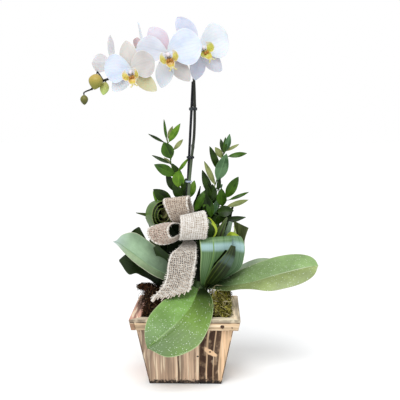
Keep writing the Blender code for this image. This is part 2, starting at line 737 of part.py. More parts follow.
# Each strip of leaf: middle line from its foot, half widths and how far it turns from facing front.
STRIPS = {
    "leaf_fold": ([(38, 9, 138), (38, 9, 158), (46, -8, 178), (60, -26, 192), (69, -34, 204),
                   (73, -36, 219)],
                  [1.5, 2, 4, 6, 5.5, 3], 20),
    "leaf_tip": ([(49, 17, 138), (49, 18, 165), (50, 19, 190), (53, 19, 225), (60, 16, 244),
                  (70, 14, 259)],
                 [1.5, 3, 5, 8, 7, 0], -10),
    "leaf_end_right": ([(56, 52, 138), (60, 50, 160), (70, 44, 186), (82, 32, 212), (89, 25, 232),
                        (89, 23, 249)],
                       [1.5, 4, 8, 12, 13, 13], 8),
    "leaf_end_left": ([(-46, 20, 138), (-48, 19, 160), (-56, 14, 182), (-66, 10, 212), (-74, 8, 230),
                       (-87, 6, 239)],
                      [1.5, 5, 8, 9, 9, 9], 10),
    "leaf_strip_low": ([(-48, 8, 138), (-50, 4, 150), (-60, -12, 162), (-74, -24, 174), (-87, -29, 185),
                        (-99, -31, 195)], [1.5, 7, 13, 15, 14, 12], -12),
    "leaf_strip_back": ([(-28, 30, 138), (-29, 30, 160), (-34, 29, 178), (-42, 28, 192), (-51, 26, 202),
                         (-62, 25, 212)], [1.5, 7, 13, 16, 15, 6], 0),
}


def build_strips():
    shares = even(8)
    for name, (points, widths, turn) in STRIPS.items():
        path = smooth_path(mm(points), shares)
        face = Matrix.Rotation(math.radians(turn), 3, "Z") @ FRONT
        last = len(path) - 1
        across = []
        for i in range(last + 1):
            along = path[min(i + 1, last)] - path[max(i - 1, 0)]
            across.append(along.cross(face).normalized())
        leaf = blade("strip", path, across, spread(widths, shares), STRIP_GREEN, LOOP_LEAF, fold=0.2)
        footed(name, leaf, points[0][:2], STRIP_GREEN)


ROLL_CENTRE = Vector((-47, 14, 266)) * MM
ROLL_AXIS = Vector((0.6, -0.8, 0))
ROLL_SIDE = Vector((0.8, 0.6, 0))
ROLL_RADII = (3, 19)
ROLL_TURNS = 2.2
ROLL_FOOT = (-33, 12)


def build_rolled_leaf():
    """A long leaf rolled up like a snail, standing on its stem."""
    path = []
    for share in even(26):
        angle = math.radians(-140) - 2 * math.pi * ROLL_TURNS * (1 - share)
        radius = ROLL_RADII[0] + (ROLL_RADII[1] - ROLL_RADII[0]) * share
        path.append(ROLL_CENTRE + (ROLL_SIDE * math.cos(angle) + UP * math.sin(angle)) * radius * MM)
    tail = [path[-1], *mm([(-46, 15, 226), (-36, 13, 190), (*ROLL_FOOT, 160), (*ROLL_FOOT, 138)])]
    path += smooth_path(tail, even(7))[1:]
    halves = [12 * MM] * 27 + spread([12, 9, 6, 4, 2.5, 2, 1.5], even(6))
    roll = blade("roll", path, [ROLL_AXIS] * len(path), halves, STRIP_GREEN, LOOP_LEAF)
    footed("rolled_leaf", roll, ROLL_FOOT, STRIP_GREEN)


# Bow

# Each loop of ribbon: middle line, half widths and the way its width runs.
BOW_LOOPS = (
    ([(-6, -6, 250), (-14, -26, 262), (-18, -30, 278), (-18, -24, 291), (-15, -10, 291), (-10, -2, 272),
      (-5, -1, 252)],
     [6, 14, 19, 19, 18, 13, 6], (1, 0, 0.12)),
    ([(-7, -4, 250), (-21, -9, 253), (-31, -22, 257), (-41, -34, 253), (-46, -40, 240), (-42, -34, 228),
      (-32, -22, 225), (-21, -9, 234), (-7, -4, 242)],
     [6, 13, 18, 19, 19, 19, 18, 13, 6], (0.8, -0.6, 0.04)),
    ([(-6, -10, 246), (-12, -34, 247), (-5, -52, 248), (12, -56, 251), (29, -51, 254), (35, -36, 253),
      (22, -16, 249), (3, -7, 246)],
     [6, 14, 20, 21, 21, 18, 12, 6], (-0.06, 0, 1)),
)
BOW_TAIL = (
    [(-8, -10, 240), (-8, -34, 227), (-17, -43, 212), (-25, -46, 200), (-30, -52, 172), (-38, -58, 152),
     (-52, -61, 140)],
    [(-2, -11, 239), (3, -37, 226), (0, -46, 212), (-4, -49, 200), (-8, -55, 172), (-14, -61, 152),
     (-22, -64, 143)],
    [(4, -10, 240), (14, -33, 228), (16, -40, 215), (16, -44, 200), (14, -52, 172), (10, -58, 159),
     (6, -60, 154)],
)
KNOT_CENTRE = Vector((-3, -1.5, 246)) * MM
KNOT_RADII = Vector((9, 9, 10)) * MM


def build_bow(spike_path):
    """Three loops and a tail, gathered in a knot on the band that ties them to the spike."""
    low = KNOT_CENTRE.z - TIE_HEIGHT / 2
    pieces = [collar("burlap_bow", spike_path, low, TIE_HEIGHT, TIE_WALL, BURLAP),
              ellipsoid("knot", KNOT_CENTRE, KNOT_RADII, BURLAP, sides=10, rings=7)]
    for points, widths, side in BOW_LOOPS:
        shares = even(14)
        path = smooth_path(mm(points), shares)
        across = [Vector(side).normalized()] * len(path)
        pieces.append(blade("ribbon", path, across, spread(widths, shares), BURLAP, RIBBON))
    pieces.append(loft("tail", BOW_TAIL, even(10), 4, BURLAP, RIBBON, ripple=1.2 * MM, waves=2))
    fuse(pieces)


def build():
    build_planter()
    build_orchid_plant()
    spike_path = build_flowers()
    tube("stake", mm(STAKE), STAKE_RADIUS, STAKE_BLACK)
    foot_hole(mm(STAKE), STAKE_RADIUS)
    collar("clip_top", spike_path, 432 * MM, 7 * MM, COLLAR_WALL, CLIP_BLUE)
    collar("clip_middle", spike_path, 354 * MM, 6 * MM, COLLAR_WALL, CLIP_BLUE)
    collar("stem_tie", spike_path, 315 * MM, 3 * MM, COLLAR_WALL, CLIP_BLUE)
    build_bow(spike_path)
    build_spray("ruscus_left", *LEFT_RUSCUS)
    build_spray("ruscus_right", *RIGHT_RUSCUS)
    build_spray("ruscus_side", *SIDE_RUSCUS)
    build_loops()
    build_strips()
    build_rolled_leaf()
    build_moss()


build()
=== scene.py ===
"""Looks of the potted orchid: fine petals, leaves, moss, torched wood and woven burlap round the model.

Metres, +Z up, the front faces -Y. Points are written in millimetres, colours as sRGB from 0 to 255.
"""

import math
import random

import bpy
import numpy as np
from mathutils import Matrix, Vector, noise


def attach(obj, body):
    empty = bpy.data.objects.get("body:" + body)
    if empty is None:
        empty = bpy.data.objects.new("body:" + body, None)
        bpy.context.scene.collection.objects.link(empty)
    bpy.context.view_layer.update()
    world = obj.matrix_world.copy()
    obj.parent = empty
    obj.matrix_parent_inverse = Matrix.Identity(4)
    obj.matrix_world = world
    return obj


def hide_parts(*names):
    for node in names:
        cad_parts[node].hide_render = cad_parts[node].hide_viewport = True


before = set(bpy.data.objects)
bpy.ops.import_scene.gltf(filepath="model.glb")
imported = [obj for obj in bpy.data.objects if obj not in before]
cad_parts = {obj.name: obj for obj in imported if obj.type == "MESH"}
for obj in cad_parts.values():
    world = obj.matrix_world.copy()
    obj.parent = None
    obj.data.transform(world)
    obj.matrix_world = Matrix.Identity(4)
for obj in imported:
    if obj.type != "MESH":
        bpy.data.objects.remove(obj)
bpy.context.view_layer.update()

MM = 0.001
UP = np.array([0, 0, 1.0])
FRONT = np.array([0, -1.0, 0])
RIGHT = np.array([1.0, 0, 0])
SHARP = math.radians(50)
# Camera and light
CAMERA_PLACE = (0.05, -1.25, 0.41)
CAMERA_TILT = 5.6
CAMERA_YAW = 1.29
CAMERA_LENS = 69.66
SKY_LIGHT = 0.82
SKY_COLOUR = (0.99, 0.995, 1.0, 1)
SUN_LIGHT = 1.6
SUN_FROM = (-0.4, -0.85, 0.85)
SUN_WIDTH = 40
SUN_COLOUR = (1.0, 0.995, 0.98)
TOP_LIGHT = 7.0
TOP_LIGHT_PLACE = (0.15, -0.85, 1.25)
TOP_LIGHT_SIZE = 0.6
TOP_LIGHT_COLOUR = (0.92, 0.96, 1.0)
TOP_LIGHT_AIM = (0.02, 0, 0.25)
FLOOR_SIZE = 30
FLOOR_WHITE = (0.93, 0.93, 0.93, 1)
PAPER_SHADE = (0.92, 0.92, 0.92, 1)
# Colours are written as they look in the photo, and divided by how bright a lit surface comes out.
BRIGHTNESS = 1.5


# Numbers and paths


def mm(points):
    return np.array(points, float) * MM


def unit(vectors):
    vectors = np.asarray(vectors, float)
    return vectors / np.maximum(np.linalg.norm(vectors, axis=-1, keepdims=True), 1e-12)


def even(count):
    return np.arange(count + 1) / count


def rounded(count):
    """Shares that crowd towards both ends, where a leaf's outline turns fastest."""
    return (1 - np.cos(np.pi * even(count))) / 2


def smooth_path(points, shares):
    """Points on a smooth curve through the given ones; shares past 0 or 1 run straight on."""
    points = np.asarray(points, float)
    times = np.concatenate([[0], np.cumsum(np.linalg.norm(np.diff(points, axis=0), axis=1))])
    last = len(points) - 1
    order = np.arange(last + 1)
    low, high = np.maximum(order - 1, 0), np.minimum(order + 1, last)
    slopes = (points[high] - points[low]) / (times[high] - times[low])[:, None]
    shares = np.asarray(shares, float)
    kept = np.clip(shares, 0, 1)
    i = np.clip(np.searchsorted(times, kept * times[-1], side="right") - 1, 0, last - 1)
    step = (times[i + 1] - times[i])[:, None]
    t = (kept * times[-1] - times[i])[:, None] / step
    found = (
        points[i] * (2 * t**3 - 3 * t**2 + 1)
        + slopes[i] * step * (t**3 - 2 * t**2 + t)
        + points[i + 1] * (3 * t**2 - 2 * t**3)
        + slopes[i + 1] * step * (t**3 - t**2)
    )
    past = (shares - kept) * times[-1]
    ends = np.where(shares[:, None] > 0.5, slopes[last], slopes[0])
    return found + ends * past[:, None]


def spread(values, shares):
    """The values, laid out evenly and joined by straight lines, at the given shares."""
    return np.interp(shares, even(len(values) - 1), values)


def oval(shares, half, fullness, lean, start, tip=0.15):
    """Half widths of a leaf; lean above 1 moves its widest place towards the tip."""
    widths = half * np.maximum(np.sin(np.pi * np.clip(shares, 0, 1) ** lean), 0) ** fullness
    widths = np.where(shares < 0.5, np.maximum(widths, start), widths)
    return np.maximum(widths, tip)


def bumps(points, size, seed=0.0):
    """Smooth noise from -1 to 1 at each point, with bumps of about the given size."""
    flat = np.asarray(points).reshape(-1, 3) / size + seed
    return np.array([noise.noise(Vector(p)) for p in flat]).reshape(np.asarray(points).shape[:-1])


def turned(vector, axis, angle):
    """Vectors turned round an axis by an angle in radians."""
    axis = unit(axis)
    vector = np.asarray(vector, float)
    along = (vector @ axis)[..., None] * axis
    return along + (vector - along) * math.cos(angle) + np.cross(axis, vector) * math.sin(angle)


# Meshes


class Shape:
    """Collects the sheets and tubes of one piece and makes its mesh."""

    def __init__(self, name):
        self.name = name
        self.points = []
        self.uvs = []
        self.faces = []
        self.looks = []
        self.count = 0

    def add(self, points, uvs, faces, looks):
        self.points.append(np.asarray(points, float).reshape(-1, 3))
        self.uvs.append(np.asarray(uvs, float).reshape(-1, 2))
        self.faces += [[corner + self.count for corner in face] for face in faces]
        self.looks += looks
        self.count += len(self.points[-1])

    def sheet(self, grid, thickness, front=0, back=None, rim=0.35):
        """A closed leaf round a grid of points, rows along it and columns across, thin at its sides."""
        back = front if back is None else back
        rows, columns = grid.shape[:2]
        normal = unit(np.cross(np.gradient(grid, axis=1), np.gradient(grid, axis=0)))
        t = np.linspace(-1, 1, columns)
        half = thickness / 2 * (rim + (1 - rim) * np.sqrt(1 - t * t))
        lift = normal * half[None, :, None]
        number = np.arange(rows * columns).reshape(rows, columns)
        under = number + rows * columns
        a, b, c, d = number[:-1, :-1], number[:-1, 1:], number[1:, 1:], number[1:, :-1]
        top = np.stack([a, b, c, d], -1).reshape(-1, 4)
        bottom = np.stack([d, c, b, a], -1).reshape(-1, 4) + rows * columns
        edge = np.concatenate([number[:, 0], number[-1, 1:], number[-2::-1, -1], number[0, -2:0:-1]])
        lower = np.concatenate([under[:, 0], under[-1, 1:], under[-2::-1, -1], under[0, -2:0:-1]])
        rim_faces = np.stack([edge, np.roll(edge, -1), np.roll(lower, -1), lower], -1)
        s = np.linspace(0, 1, rows)
        uv = np.stack(np.broadcast_arrays((t[None, :] + 1) / 2, s[:, None]), -1).reshape(-1, 2)
        points = np.concatenate([(grid + lift).reshape(-1, 3), (grid - lift).reshape(-1, 3)])
        faces = np.concatenate([top, bottom, rim_faces]).tolist()
        looks = [front] * len(top) + [back] * (len(bottom) + len(rim_faces))
        self.add(points, np.concatenate([uv, uv]), faces, looks)

    def tube(self, path, radii, sides=8, look=0, normals=None, flat=1.0, lobes=0, depth=0.0):
        """A closed stem along a path, round or flattened, smooth or with shallow lobes."""
        path = np.asarray(path, float)
        count = len(path)
        radii = np.broadcast_to(np.asarray(radii, float), (count,))
        tangent = unit(np.gradient(path, axis=0))
        if normals is None:
            normals = carried(tangent)
        side = unit(np.cross(normals, tangent))
        lift = np.cross(tangent, side)
        angle = 2 * np.pi * np.arange(sides) / sides
        swell = 1 - depth * (1 - np.abs(np.sin(lobes * angle / 2))) ** 3 if lobes else np.ones(sides)
        ring = (
            side[:, None] * (np.cos(angle) * swell)[None, :, None]
            + lift[:, None] * (np.sin(angle) * swell * flat)[None, :, None]
        )
        points = path[:, None] + ring * radii[:, None, None]
        number = np.arange(count * sides).reshape(count, sides)
        following = np.roll(number, -1, axis=1)
        quads = np.stack([number[:-1], following[:-1], following[1:], number[1:]], -1).reshape(-1, 4)
        faces = quads.tolist() + [number[0, ::-1].tolist(), number[-1].tolist()]
        share = np.linspace(0, 1, count)
        uv = np.stack(np.broadcast_arrays((np.arange(sides) / sides)[None], share[:, None]), -1)
        self.add(points, uv, faces, [look] * len(faces))

    def egg(self, centre, axis, profile, sides=16, look=0, lobes=0, depth=0.0):
        """A turned form: a profile of radius and height along an axis."""
        centre, axis = np.asarray(centre, float), unit(axis)
        radii, heights = (np.array(values, float) for values in zip(*profile))
        self.tube(centre + heights[:, None] * axis, radii, sides, look, lobes=lobes, depth=depth)

    def make(self, looks, nodes=()):
        mesh = bpy.data.meshes.new(self.name)
        mesh.from_pydata(np.concatenate(self.points).tolist(), [], self.faces)
        layer = mesh.uv_layers.new(name="UVMap")
        corners = np.zeros(len(mesh.loops), np.int32)
        mesh.loops.foreach_get("vertex_index", corners)
        layer.data.foreach_set("uv", np.concatenate(self.uvs)[corners].astype(np.float32).ravel())
        for look in looks:
            mesh.materials.append(look)
        mesh.polygons.foreach_set("material_index", self.looks)
        mesh.shade_smooth()
        mesh.set_sharp_from_angle(angle=SHARP)
        made = bpy.data.objects.new(self.name, mesh)
        bpy.context.scene.collection.objects.link(made)
        return settle(made, nodes)


def settle(piece, nodes=()):
    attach(piece, "root")
    if nodes:
        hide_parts(*nodes)
    return piece


def carried(tangents):
    """A normal carried along a path without twisting."""
    first = tangents[0]
    start = UP if abs(first[2]) < 0.9 else FRONT
    normal = unit(np.cross(np.cross(first, start), first))
    found = []
    for tangent in tangents:
        normal = unit(normal - tangent * (normal @ tangent))
        found.append(normal)
    return np.array(found)


def ball_profile(radius, height, count):
    """Profile of an egg of the given radius and half height."""
    turn = np.linspace(0, np.pi, count)
    radii = radius * np.maximum(np.sin(turn), 0.03)
    return list(zip(radii, -height * np.cos(turn)))


# Materials


def rgb(red, green, blue, gain=1.0):
    """The shader colour of a surface that looks like the given sRGB colour in this light."""
    shares = (red / 255, green / 255, blue / 255)
    linear = [value / 12.92 if value <= 0.04045 else ((value + 0.055) / 1.055) ** 2.4 for value in shares]
    return (*(value * gain / BRIGHTNESS for value in linear), 1.0)


def scaled(colour, factor):
    return tuple(min(255, value * factor) for value in colour)


class Look:
    """One procedural material, built up node by node."""

    def __init__(self, name, roughness, **sockets):
        self.material = bpy.data.materials.new(name)
        self.material.use_nodes = True
        self.tree = self.material.node_tree
        self.shader = self.tree.nodes["Principled BSDF"]
        self.shader.inputs["Roughness"].default_value = roughness
        for key, value in sockets.items():
            self.shader.inputs[key.replace("_", " ")].default_value = value
        coordinates = self.tree.nodes.new("ShaderNodeTexCoord")
        self.place = coordinates.outputs["Object"]
        self.across, self.along = self.split(coordinates.outputs["UV"])[:2]
        self.x, self.y, self.z = self.split(self.place)

    def put(self, socket, value):
        if isinstance(value, bpy.types.NodeSocket):
            self.tree.links.new(value, socket)
        else:
            socket.default_value = value

    def split(self, vector):
        made = self.tree.nodes.new("ShaderNodeSeparateXYZ")
        self.put(made.inputs[0], vector)
        return made.outputs[0], made.outputs[1], made.outputs[2]

    def join(self, x, y, z):
        made = self.tree.nodes.new("ShaderNodeCombineXYZ")
        for socket, value in zip(made.inputs, (x, y, z)):
            self.put(socket, value)
        return made.outputs[0]

    def math(self, operation, a, b=0.0):
        made = self.tree.nodes.new("ShaderNodeMath")
        made.operation = operation
        self.put(made.inputs[0], a)
        self.put(made.inputs[1], b)
        return made.outputs[0]

    def times(self, a, b):
        return self.math("MULTIPLY", a, b)

    def plus(self, a, b):
        return self.math("ADD", a, b)

    def minus(self, a, b):
        return self.math("SUBTRACT", a, b)

    def apart(self, a, b):
        return self.math("ABSOLUTE", self.minus(a, b))

    def fade(self, value, low, high, start=0.0, end=1.0):
        """From start to end as the value goes from low to high."""
        made = self.tree.nodes.new("ShaderNodeMapRange")
        made.interpolation_type = "SMOOTHSTEP"
        for socket, number in zip(made.inputs, (value, low, high, start, end)):
            self.put(socket, number)
        return made.outputs[0]

    def near(self, value, centre, half, soft):
        """1 where the value is within half of the centre, and 0 further off than half and soft."""
        return self.fade(self.apart(value, centre), half, half + soft, 1.0, 0.0)

    def mix(self, share, a, b, blend="MIX"):
        """Two colours mixed by a share; one of three numbers is sRGB from 0 to 255."""
        made = self.tree.nodes.new("ShaderNodeMix")
        made.data_type = "RGBA"
        made.blend_type = blend
        self.put(made.inputs[0], share)
        for socket, colour in ((made.inputs[6], a), (made.inputs[7], b)):
            self.put(socket, rgb(*colour) if isinstance(colour, tuple) and len(colour) == 3 else colour)
        return made.outputs[2]

    def noise(self, scale, detail=2.0, vector=None, rough=0.5):
        made = self.tree.nodes.new("ShaderNodeTexNoise")
        self.put(made.inputs["Vector"], self.place if vector is None else vector)
        for key, value in (("Scale", scale), ("Detail", detail), ("Roughness", rough)):
            self.put(made.inputs[key], value)
        return made.outputs[0]

    def wobble(self, scale, detail, size):
        """Noise on both sides of zero, over the given range."""
        return self.times(self.minus(self.noise(scale, detail), 0.5), size)

    def cells(self, scale):
        made = self.tree.nodes.new("ShaderNodeTexVoronoi")
        self.put(made.inputs["Vector"], self.place)
        self.put(made.inputs["Scale"], scale)
        return made.outputs["Distance"], made.outputs["Color"]

    def waves(self, vector, scale, twist=0.0, detail=1.0):
        made = self.tree.nodes.new("ShaderNodeTexWave")
        self.put(made.inputs["Vector"], vector)
        for key, value in (("Scale", scale), ("Distortion", twist), ("Detail", detail)):
            self.put(made.inputs[key], value)
        return made.outputs["Fac"]

    def bump(self, height, strength, distance=MM):
        made = self.tree.nodes.new("ShaderNodeBump")
        made.inputs["Strength"].default_value = strength
        made.inputs["Distance"].default_value = distance
        self.put(made.inputs["Height"], height)
        if self.shader.inputs["Normal"].is_linked:
            self.put(made.inputs["Normal"], self.shader.inputs["Normal"].links[0].from_socket)
        self.put(self.shader.inputs["Normal"], made.outputs[0])

    def finish(self, colour, roughness=None):
        self.put(self.shader.inputs["Base Color"], colour)
        if roughness is not None:
            self.put(self.shader.inputs["Roughness"], roughness)
        return self.material


# Leaf materials

SPECKLE = (215, 228, 205)


def leaf_look(name, left, right, margin, roughness=0.38, vein=None, speckles=0.0, tip=None, base=None,
              shadow=None):
    """A waxy orchid leaf: two halves, midrib, fine ribs, pale margin, pale speckles, foot and tip.

    The two halves differ by painted light and shade on the two sides of the fold. base is a colour and
    how far along it fades out, a painted shade at the foot, and tip a colour and where along it starts.
    shadow is a painted shadow on the foot of the right half: a colour, and the shares along between which
    it fades out. vein is a colour, where along it starts to show, and how strong it is before that.
    """
    look = Look(name, roughness, Coat_Weight=0.05, Coat_Roughness=0.3, Specular_IOR_Level=0.3)
    patches = look.noise(26, 3)
    fine = look.noise(150, 2)
    # The two halves in two greens: painted light and shade on the two sides of the fold.
    half = look.fade(look.across, 0.485, 0.515)
    level = look.times(look.fade(patches, 0.32, 0.68, 0.8, 1.2), look.fade(fine, 0.3, 0.7, 0.94, 1.06))
    colour = look.mix(1.0, look.mix(half, left, right), look.join(level, level, level), "MULTIPLY")
    ribs = look.waves(look.join(look.across, look.times(look.along, 0.02), 0.0), 5.5, 0.3)
    colour = look.mix(look.times(ribs, 0.1), colour, scaled(left, 1.15))
    if tip:
        colour = look.mix(look.fade(look.along, tip[1], 1.0), colour, tip[0])
    # Painted shade at the foot, where the leaf stands among the others.
    if base:
        colour = look.mix(look.fade(look.along, base[1] * 0.4, base[1], 0.92, 0.0), colour, base[0])
    if vein:
        shown = look.fade(look.along, vein[1], 0.95, vein[2], 1.0)
        line = look.near(look.across, 0.5, 0.004, 0.016)
        colour = look.mix(look.times(line, shown), colour, vein[0])
    colour = speckled(look, colour, speckles)
    # Painted shadow on the foot of the right half.
    if shadow:
        depth = look.times(half, look.fade(look.along, shadow[1], shadow[2], 0.95, 0.0))
        colour = look.mix(depth, colour, shadow[0])
    colour = look.mix(look.fade(look.apart(look.across, 0.5), 0.482, 0.497), colour, margin)
    look.bump(ribs, 0.2, 0.25 * MM)
    look.bump(look.noise(900, 2), 0.1, 0.2 * MM)
    return look.finish(colour, look.fade(patches, 0.3, 0.7, roughness - 0.05, roughness + 0.1))


def speckled(look, colour, strength):
    """Pale dots of two sizes, with some of them left out."""
    for scale, size, share in ((210, 0.19, 0.3), (400, 0.26, 0.5)):
        distance, tone = look.cells(scale)
        dot = look.fade(distance, size * 0.6, size, 1.0, 0.0)
        picked = look.fade(look.split(tone)[0], share, share + 0.03)
        colour = look.mix(look.times(look.times(dot, picked), strength), colour, SPECKLE)
    return colour


def small_leaf_look(name, colour, glow, roughness=0.32):
    """A small glossy leaf with a pale midrib and side veins, and one half paler as painted light on its fold.
    """
    look = Look(name, roughness, Coat_Weight=0.03, Coat_Roughness=0.25, Specular_IOR_Level=0.15)
    patches = look.noise(70, 2)
    shade = look.mix(look.fade(patches, 0.35, 0.65), colour, glow)
    # One half paler: painted light on one side of the fold.
    side = look.fade(look.across, 0.47, 0.53, 0.35, 0.0)
    shade = look.mix(side, shade, scaled(glow, 1.1))
    rib = look.near(look.across, 0.5, 0.008, 0.04)
    shade = look.mix(look.times(rib, 0.4), shade, scaled(glow, 1.35))
    off = look.apart(look.across, 0.5)
    slant = look.plus(look.along, look.times(off, -0.55))
    veins = look.waves(look.join(slant, 0.0, 0.0), 4.2, 0.6)
    shade = look.mix(look.times(veins, 0.1), shade, scaled(glow, 1.1))
    shade = look.mix(look.fade(off, 0.46, 0.49, 0.0, 0.35), shade, scaled(glow, 1.4))
    look.bump(veins, 0.2, 0.3 * MM)
    return look.finish(shade)


def band_leaf_look(name, dark, light, margin=None, roughness=0.34, ribs=260, streaks=(), glow=None, base=None,
                   top=None, gloss=0.22):
    """A long ribbed leaf: fine parallel veins, and a margin, streaks, a painted sheen or ends in painted
    shade.

    margin and streaks are a share across, a half width and a colour; glow, base and top are a colour and
    the shares along that they reach from and to. glow is a painted sheen band, and base and top paint shade
    on the foot and the far end.
    """
    look = Look(name, roughness, Coat_Weight=0.05, Coat_Roughness=0.3, Specular_IOR_Level=gloss)
    wide = look.times(look.across, 26.0)
    long = look.times(look.along, 1.6)
    drift = look.noise(1, 2, look.join(wide, long, look.times(look.x, 3.0)))
    colour = look.mix(look.fade(drift, 0.3, 0.7), dark, light)
    fine = look.waves(look.join(look.across, look.times(look.along, 0.03), 0.0), ribs / 6.28, 0.5)
    colour = look.mix(look.times(fine, 0.09), colour, scaled(dark, 0.7))
    # A band of painted sheen across the leaf, broken by its veins.
    if glow:
        middle, reach = (glow[1] + glow[2]) / 2, (glow[2] - glow[1]) / 2
        share = look.near(look.along, middle, reach * 0.25, reach * 0.75)
        share = look.times(share, look.fade(fine, 0.0, 1.0, 0.75, 0.5))
        colour = look.mix(share, colour, glow[0])
    # Painted shade on the foot and over the far end.
    if base:
        colour = look.mix(look.fade(look.along, base[1], base[2], 0.95, 0.0), colour, base[0])
    if top:
        colour = look.mix(look.fade(look.along, top[1], top[2], 0.0, 0.9), colour, top[0])
    for place, half, tint in streaks:
        colour = look.mix(look.near(look.across, place, half, half + 0.012), colour, tint)
    if margin:
        colour = look.mix(look.near(look.across, margin[0], margin[1], 0.02), colour, margin[2])
    look.bump(fine, 0.14, 0.2 * MM)
    return look.finish(colour, look.fade(drift, 0.3, 0.7, roughness - 0.05, roughness + 0.07))


# Flower materials


def petal_look(name, main, shadow, blush, reach=0.35):
    """A soft petal: shadow colour in broad patches, a blush from its foot and faint branching veins."""
    look = Look(name, 0.55, Subsurface_Weight=0.12, Subsurface_Scale=0.003, Specular_IOR_Level=0.3)
    patches = look.noise(45, 2)
    colour = look.mix(look.fade(patches, 0.35, 0.68), main, shadow)
    colour = look.mix(look.fade(look.along, 0.0, reach, 0.85, 0.0), colour, blush)
    fan = look.join(look.across, look.times(look.along, 0.25), 0.0)
    veins = look.waves(fan, 3.1, 3.0, 2.0)
    colour = look.mix(look.fade(veins, 0.8, 1.0, 0.0, 0.16), colour, scaled(shadow, 0.86))
    off = look.apart(look.across, 0.5)
    colour = look.mix(look.fade(off, 0.46, 0.5, 0.0, 0.5), colour, (250, 252, 255))
    look.bump(veins, 0.16, 0.4 * MM)
    look.bump(look.noise(1400, 1), 0.08, 0.1 * MM)
    return look.finish(colour)


def lip_look(name, inner, outer, stripe, edge=0.8):
    """Inside of the lip: striped in its depth, yellow further out and pale along its edge."""
    look = Look(name, 0.42, Subsurface_Weight=0.15, Subsurface_Scale=0.002, Coat_Weight=0.1)
    off = look.apart(look.across, 0.5)
    rim = look.math("MAXIMUM", look.times(off, 2.0), look.along)
    colour = look.mix(look.fade(look.along, edge - 0.3, edge + 0.15), inner, outer)
    wave = look.waves(look.join(look.across, look.times(look.along, 0.5), 0.0), 2.3, 2.0, 2.0)
    lines = look.fade(wave, 0.58, 0.82)
    depth = look.fade(look.along, 0.45, 0.9, 0.75, 0.0)
    colour = look.mix(look.times(lines, depth), colour, stripe)
    blotch = look.fade(look.noise(520, 1), 0.62, 0.68)
    colour = look.mix(look.times(blotch, depth), colour, scaled(stripe, 0.7))
    colour = look.mix(look.fade(rim, 0.74, 0.95, 0.0, 0.92), colour, (252, 248, 232))
    look.bump(wave, 0.2, 0.3 * MM)
    return look.finish(colour)


def waxy_look(name, low, high, bottom, top, spots=None, roughness=0.4):
    """A smooth waxy skin that goes from one colour to another with height, in metres."""
    look = Look(name, roughness, Specular_IOR_Level=0.3)
    grain = look.noise(260, 2)
    height = look.plus(look.z, look.times(look.minus(grain, 0.5), 0.006))
    colour = look.mix(look.fade(height, bottom, top), low, high)
    if spots:
        colour = look.mix(look.fade(look.noise(700, 1), 0.58, 0.68, 0.0, 0.8), colour, spots)
    look.bump(grain, 0.15, 0.3 * MM)
    return look.finish(colour)


# Wood, moss and yarn

# The boards stand away from the light, so their colours are raised by this much.
BOARD_GAIN = 1.32
# The walls are this far from the middle at the floor, and lean out by this much.
WALL_FOOT = 0.057
WALL_FLARE = 0.2
# The front wall's stripes fan out with height, most of all those far from the middle.
FAN_HEIGHT = 0.043
FAN_SLOPE = 1.125
# Half width and half height of the dark heart of a knot in the wood.
KNOT_HEART = (0.0016, 0.0012)
BURNT = (74, 50, 38)
PALE_GRAIN = (250, 230, 198)
HEART_BROWN = (45, 30, 22)
CHAR = (30, 25, 24)


def wood_look(name, across, along, seed, light, stripes=(), knots=(), edges=(), burnt=0.3, foot=False):
    """Torched board: grain along it, scorched bands, knots and charred ends and edges.

    across and along name the coordinates x, y or z. Stripes are centre, half width and strength, and
    knots are centre across, centre along, half width, half height and how far the flare slopes. Edges are
    dark lines, charred edges with the shade of their joints painted in: place across, half width and
    strength. A board with a foot is a wall board.
    """
    look = Look(name, 0.78, Specular_IOR_Level=0.3)
    sideways, lengthways = getattr(look, across), getattr(look, along)
    warped = look.plus(sideways, look.wobble(16, 1, 0.007))
    grain_at = look.join(warped, look.times(lengthways, 0.045), seed)
    broad = look.noise(95, 2, grain_at)
    fine = look.noise(620, 3, grain_at, 0.6)
    streak = look.noise(300, 1, grain_at)
    tones = [rgb(*scaled(light, share), BOARD_GAIN) for share in (1.1, 0.74)]
    colour = look.mix(look.fade(broad, 0.3, 0.68), *tones)
    colour = look.mix(look.fade(streak, 0.56, 0.64, 0.0, 0.75), colour, rgb(*PALE_GRAIN, BOARD_GAIN))
    colour = look.mix(look.fade(streak, 0.36, 0.44, 0.4, 0.0), colour, scaled(light, 0.6))
    scorch = look.times(look.fade(broad, 0.52, 0.7), burnt)
    for mark in stripe_marks(look, warped, stripes) + edge_marks(look, sideways, edges, foot):
        scorch = look.math("MAXIMUM", scorch, mark)
    colour = look.mix(scorch, colour, BURNT)
    colour = look.mix(look.fade(fine, 0.5, 0.75, 0.0, 0.4), colour, scaled(light, 0.62))
    for knot in knots:
        colour = add_knot(look, colour, sideways, lengthways, light, knot)
    if foot:
        ragged = look.plus(look.z, look.wobble(260, 3, 0.018))
        colour = look.mix(look.fade(ragged, 0.0035, 0.0085, 0.95, 0.0), colour, CHAR)
    look.bump(broad, 0.3, 1.2 * MM)
    look.bump(fine, 0.4, 0.5 * MM)
    return look.finish(colour, look.fade(scorch, 0.0, 1.0, 0.7, 0.9))


def stripe_marks(look, warped, stripes):
    marks = []
    for centre, half, strength in stripes:
        lean = look.times(look.minus(look.z, FAN_HEIGHT), FAN_SLOPE * centre)
        line = look.times(look.near(look.minus(warped, lean), centre, half, 0.0016), strength)
        marks.append(look.times(line, look.fade(look.noise(75, 3), 0.28, 0.5, 0.55, 1.0)))
    return marks


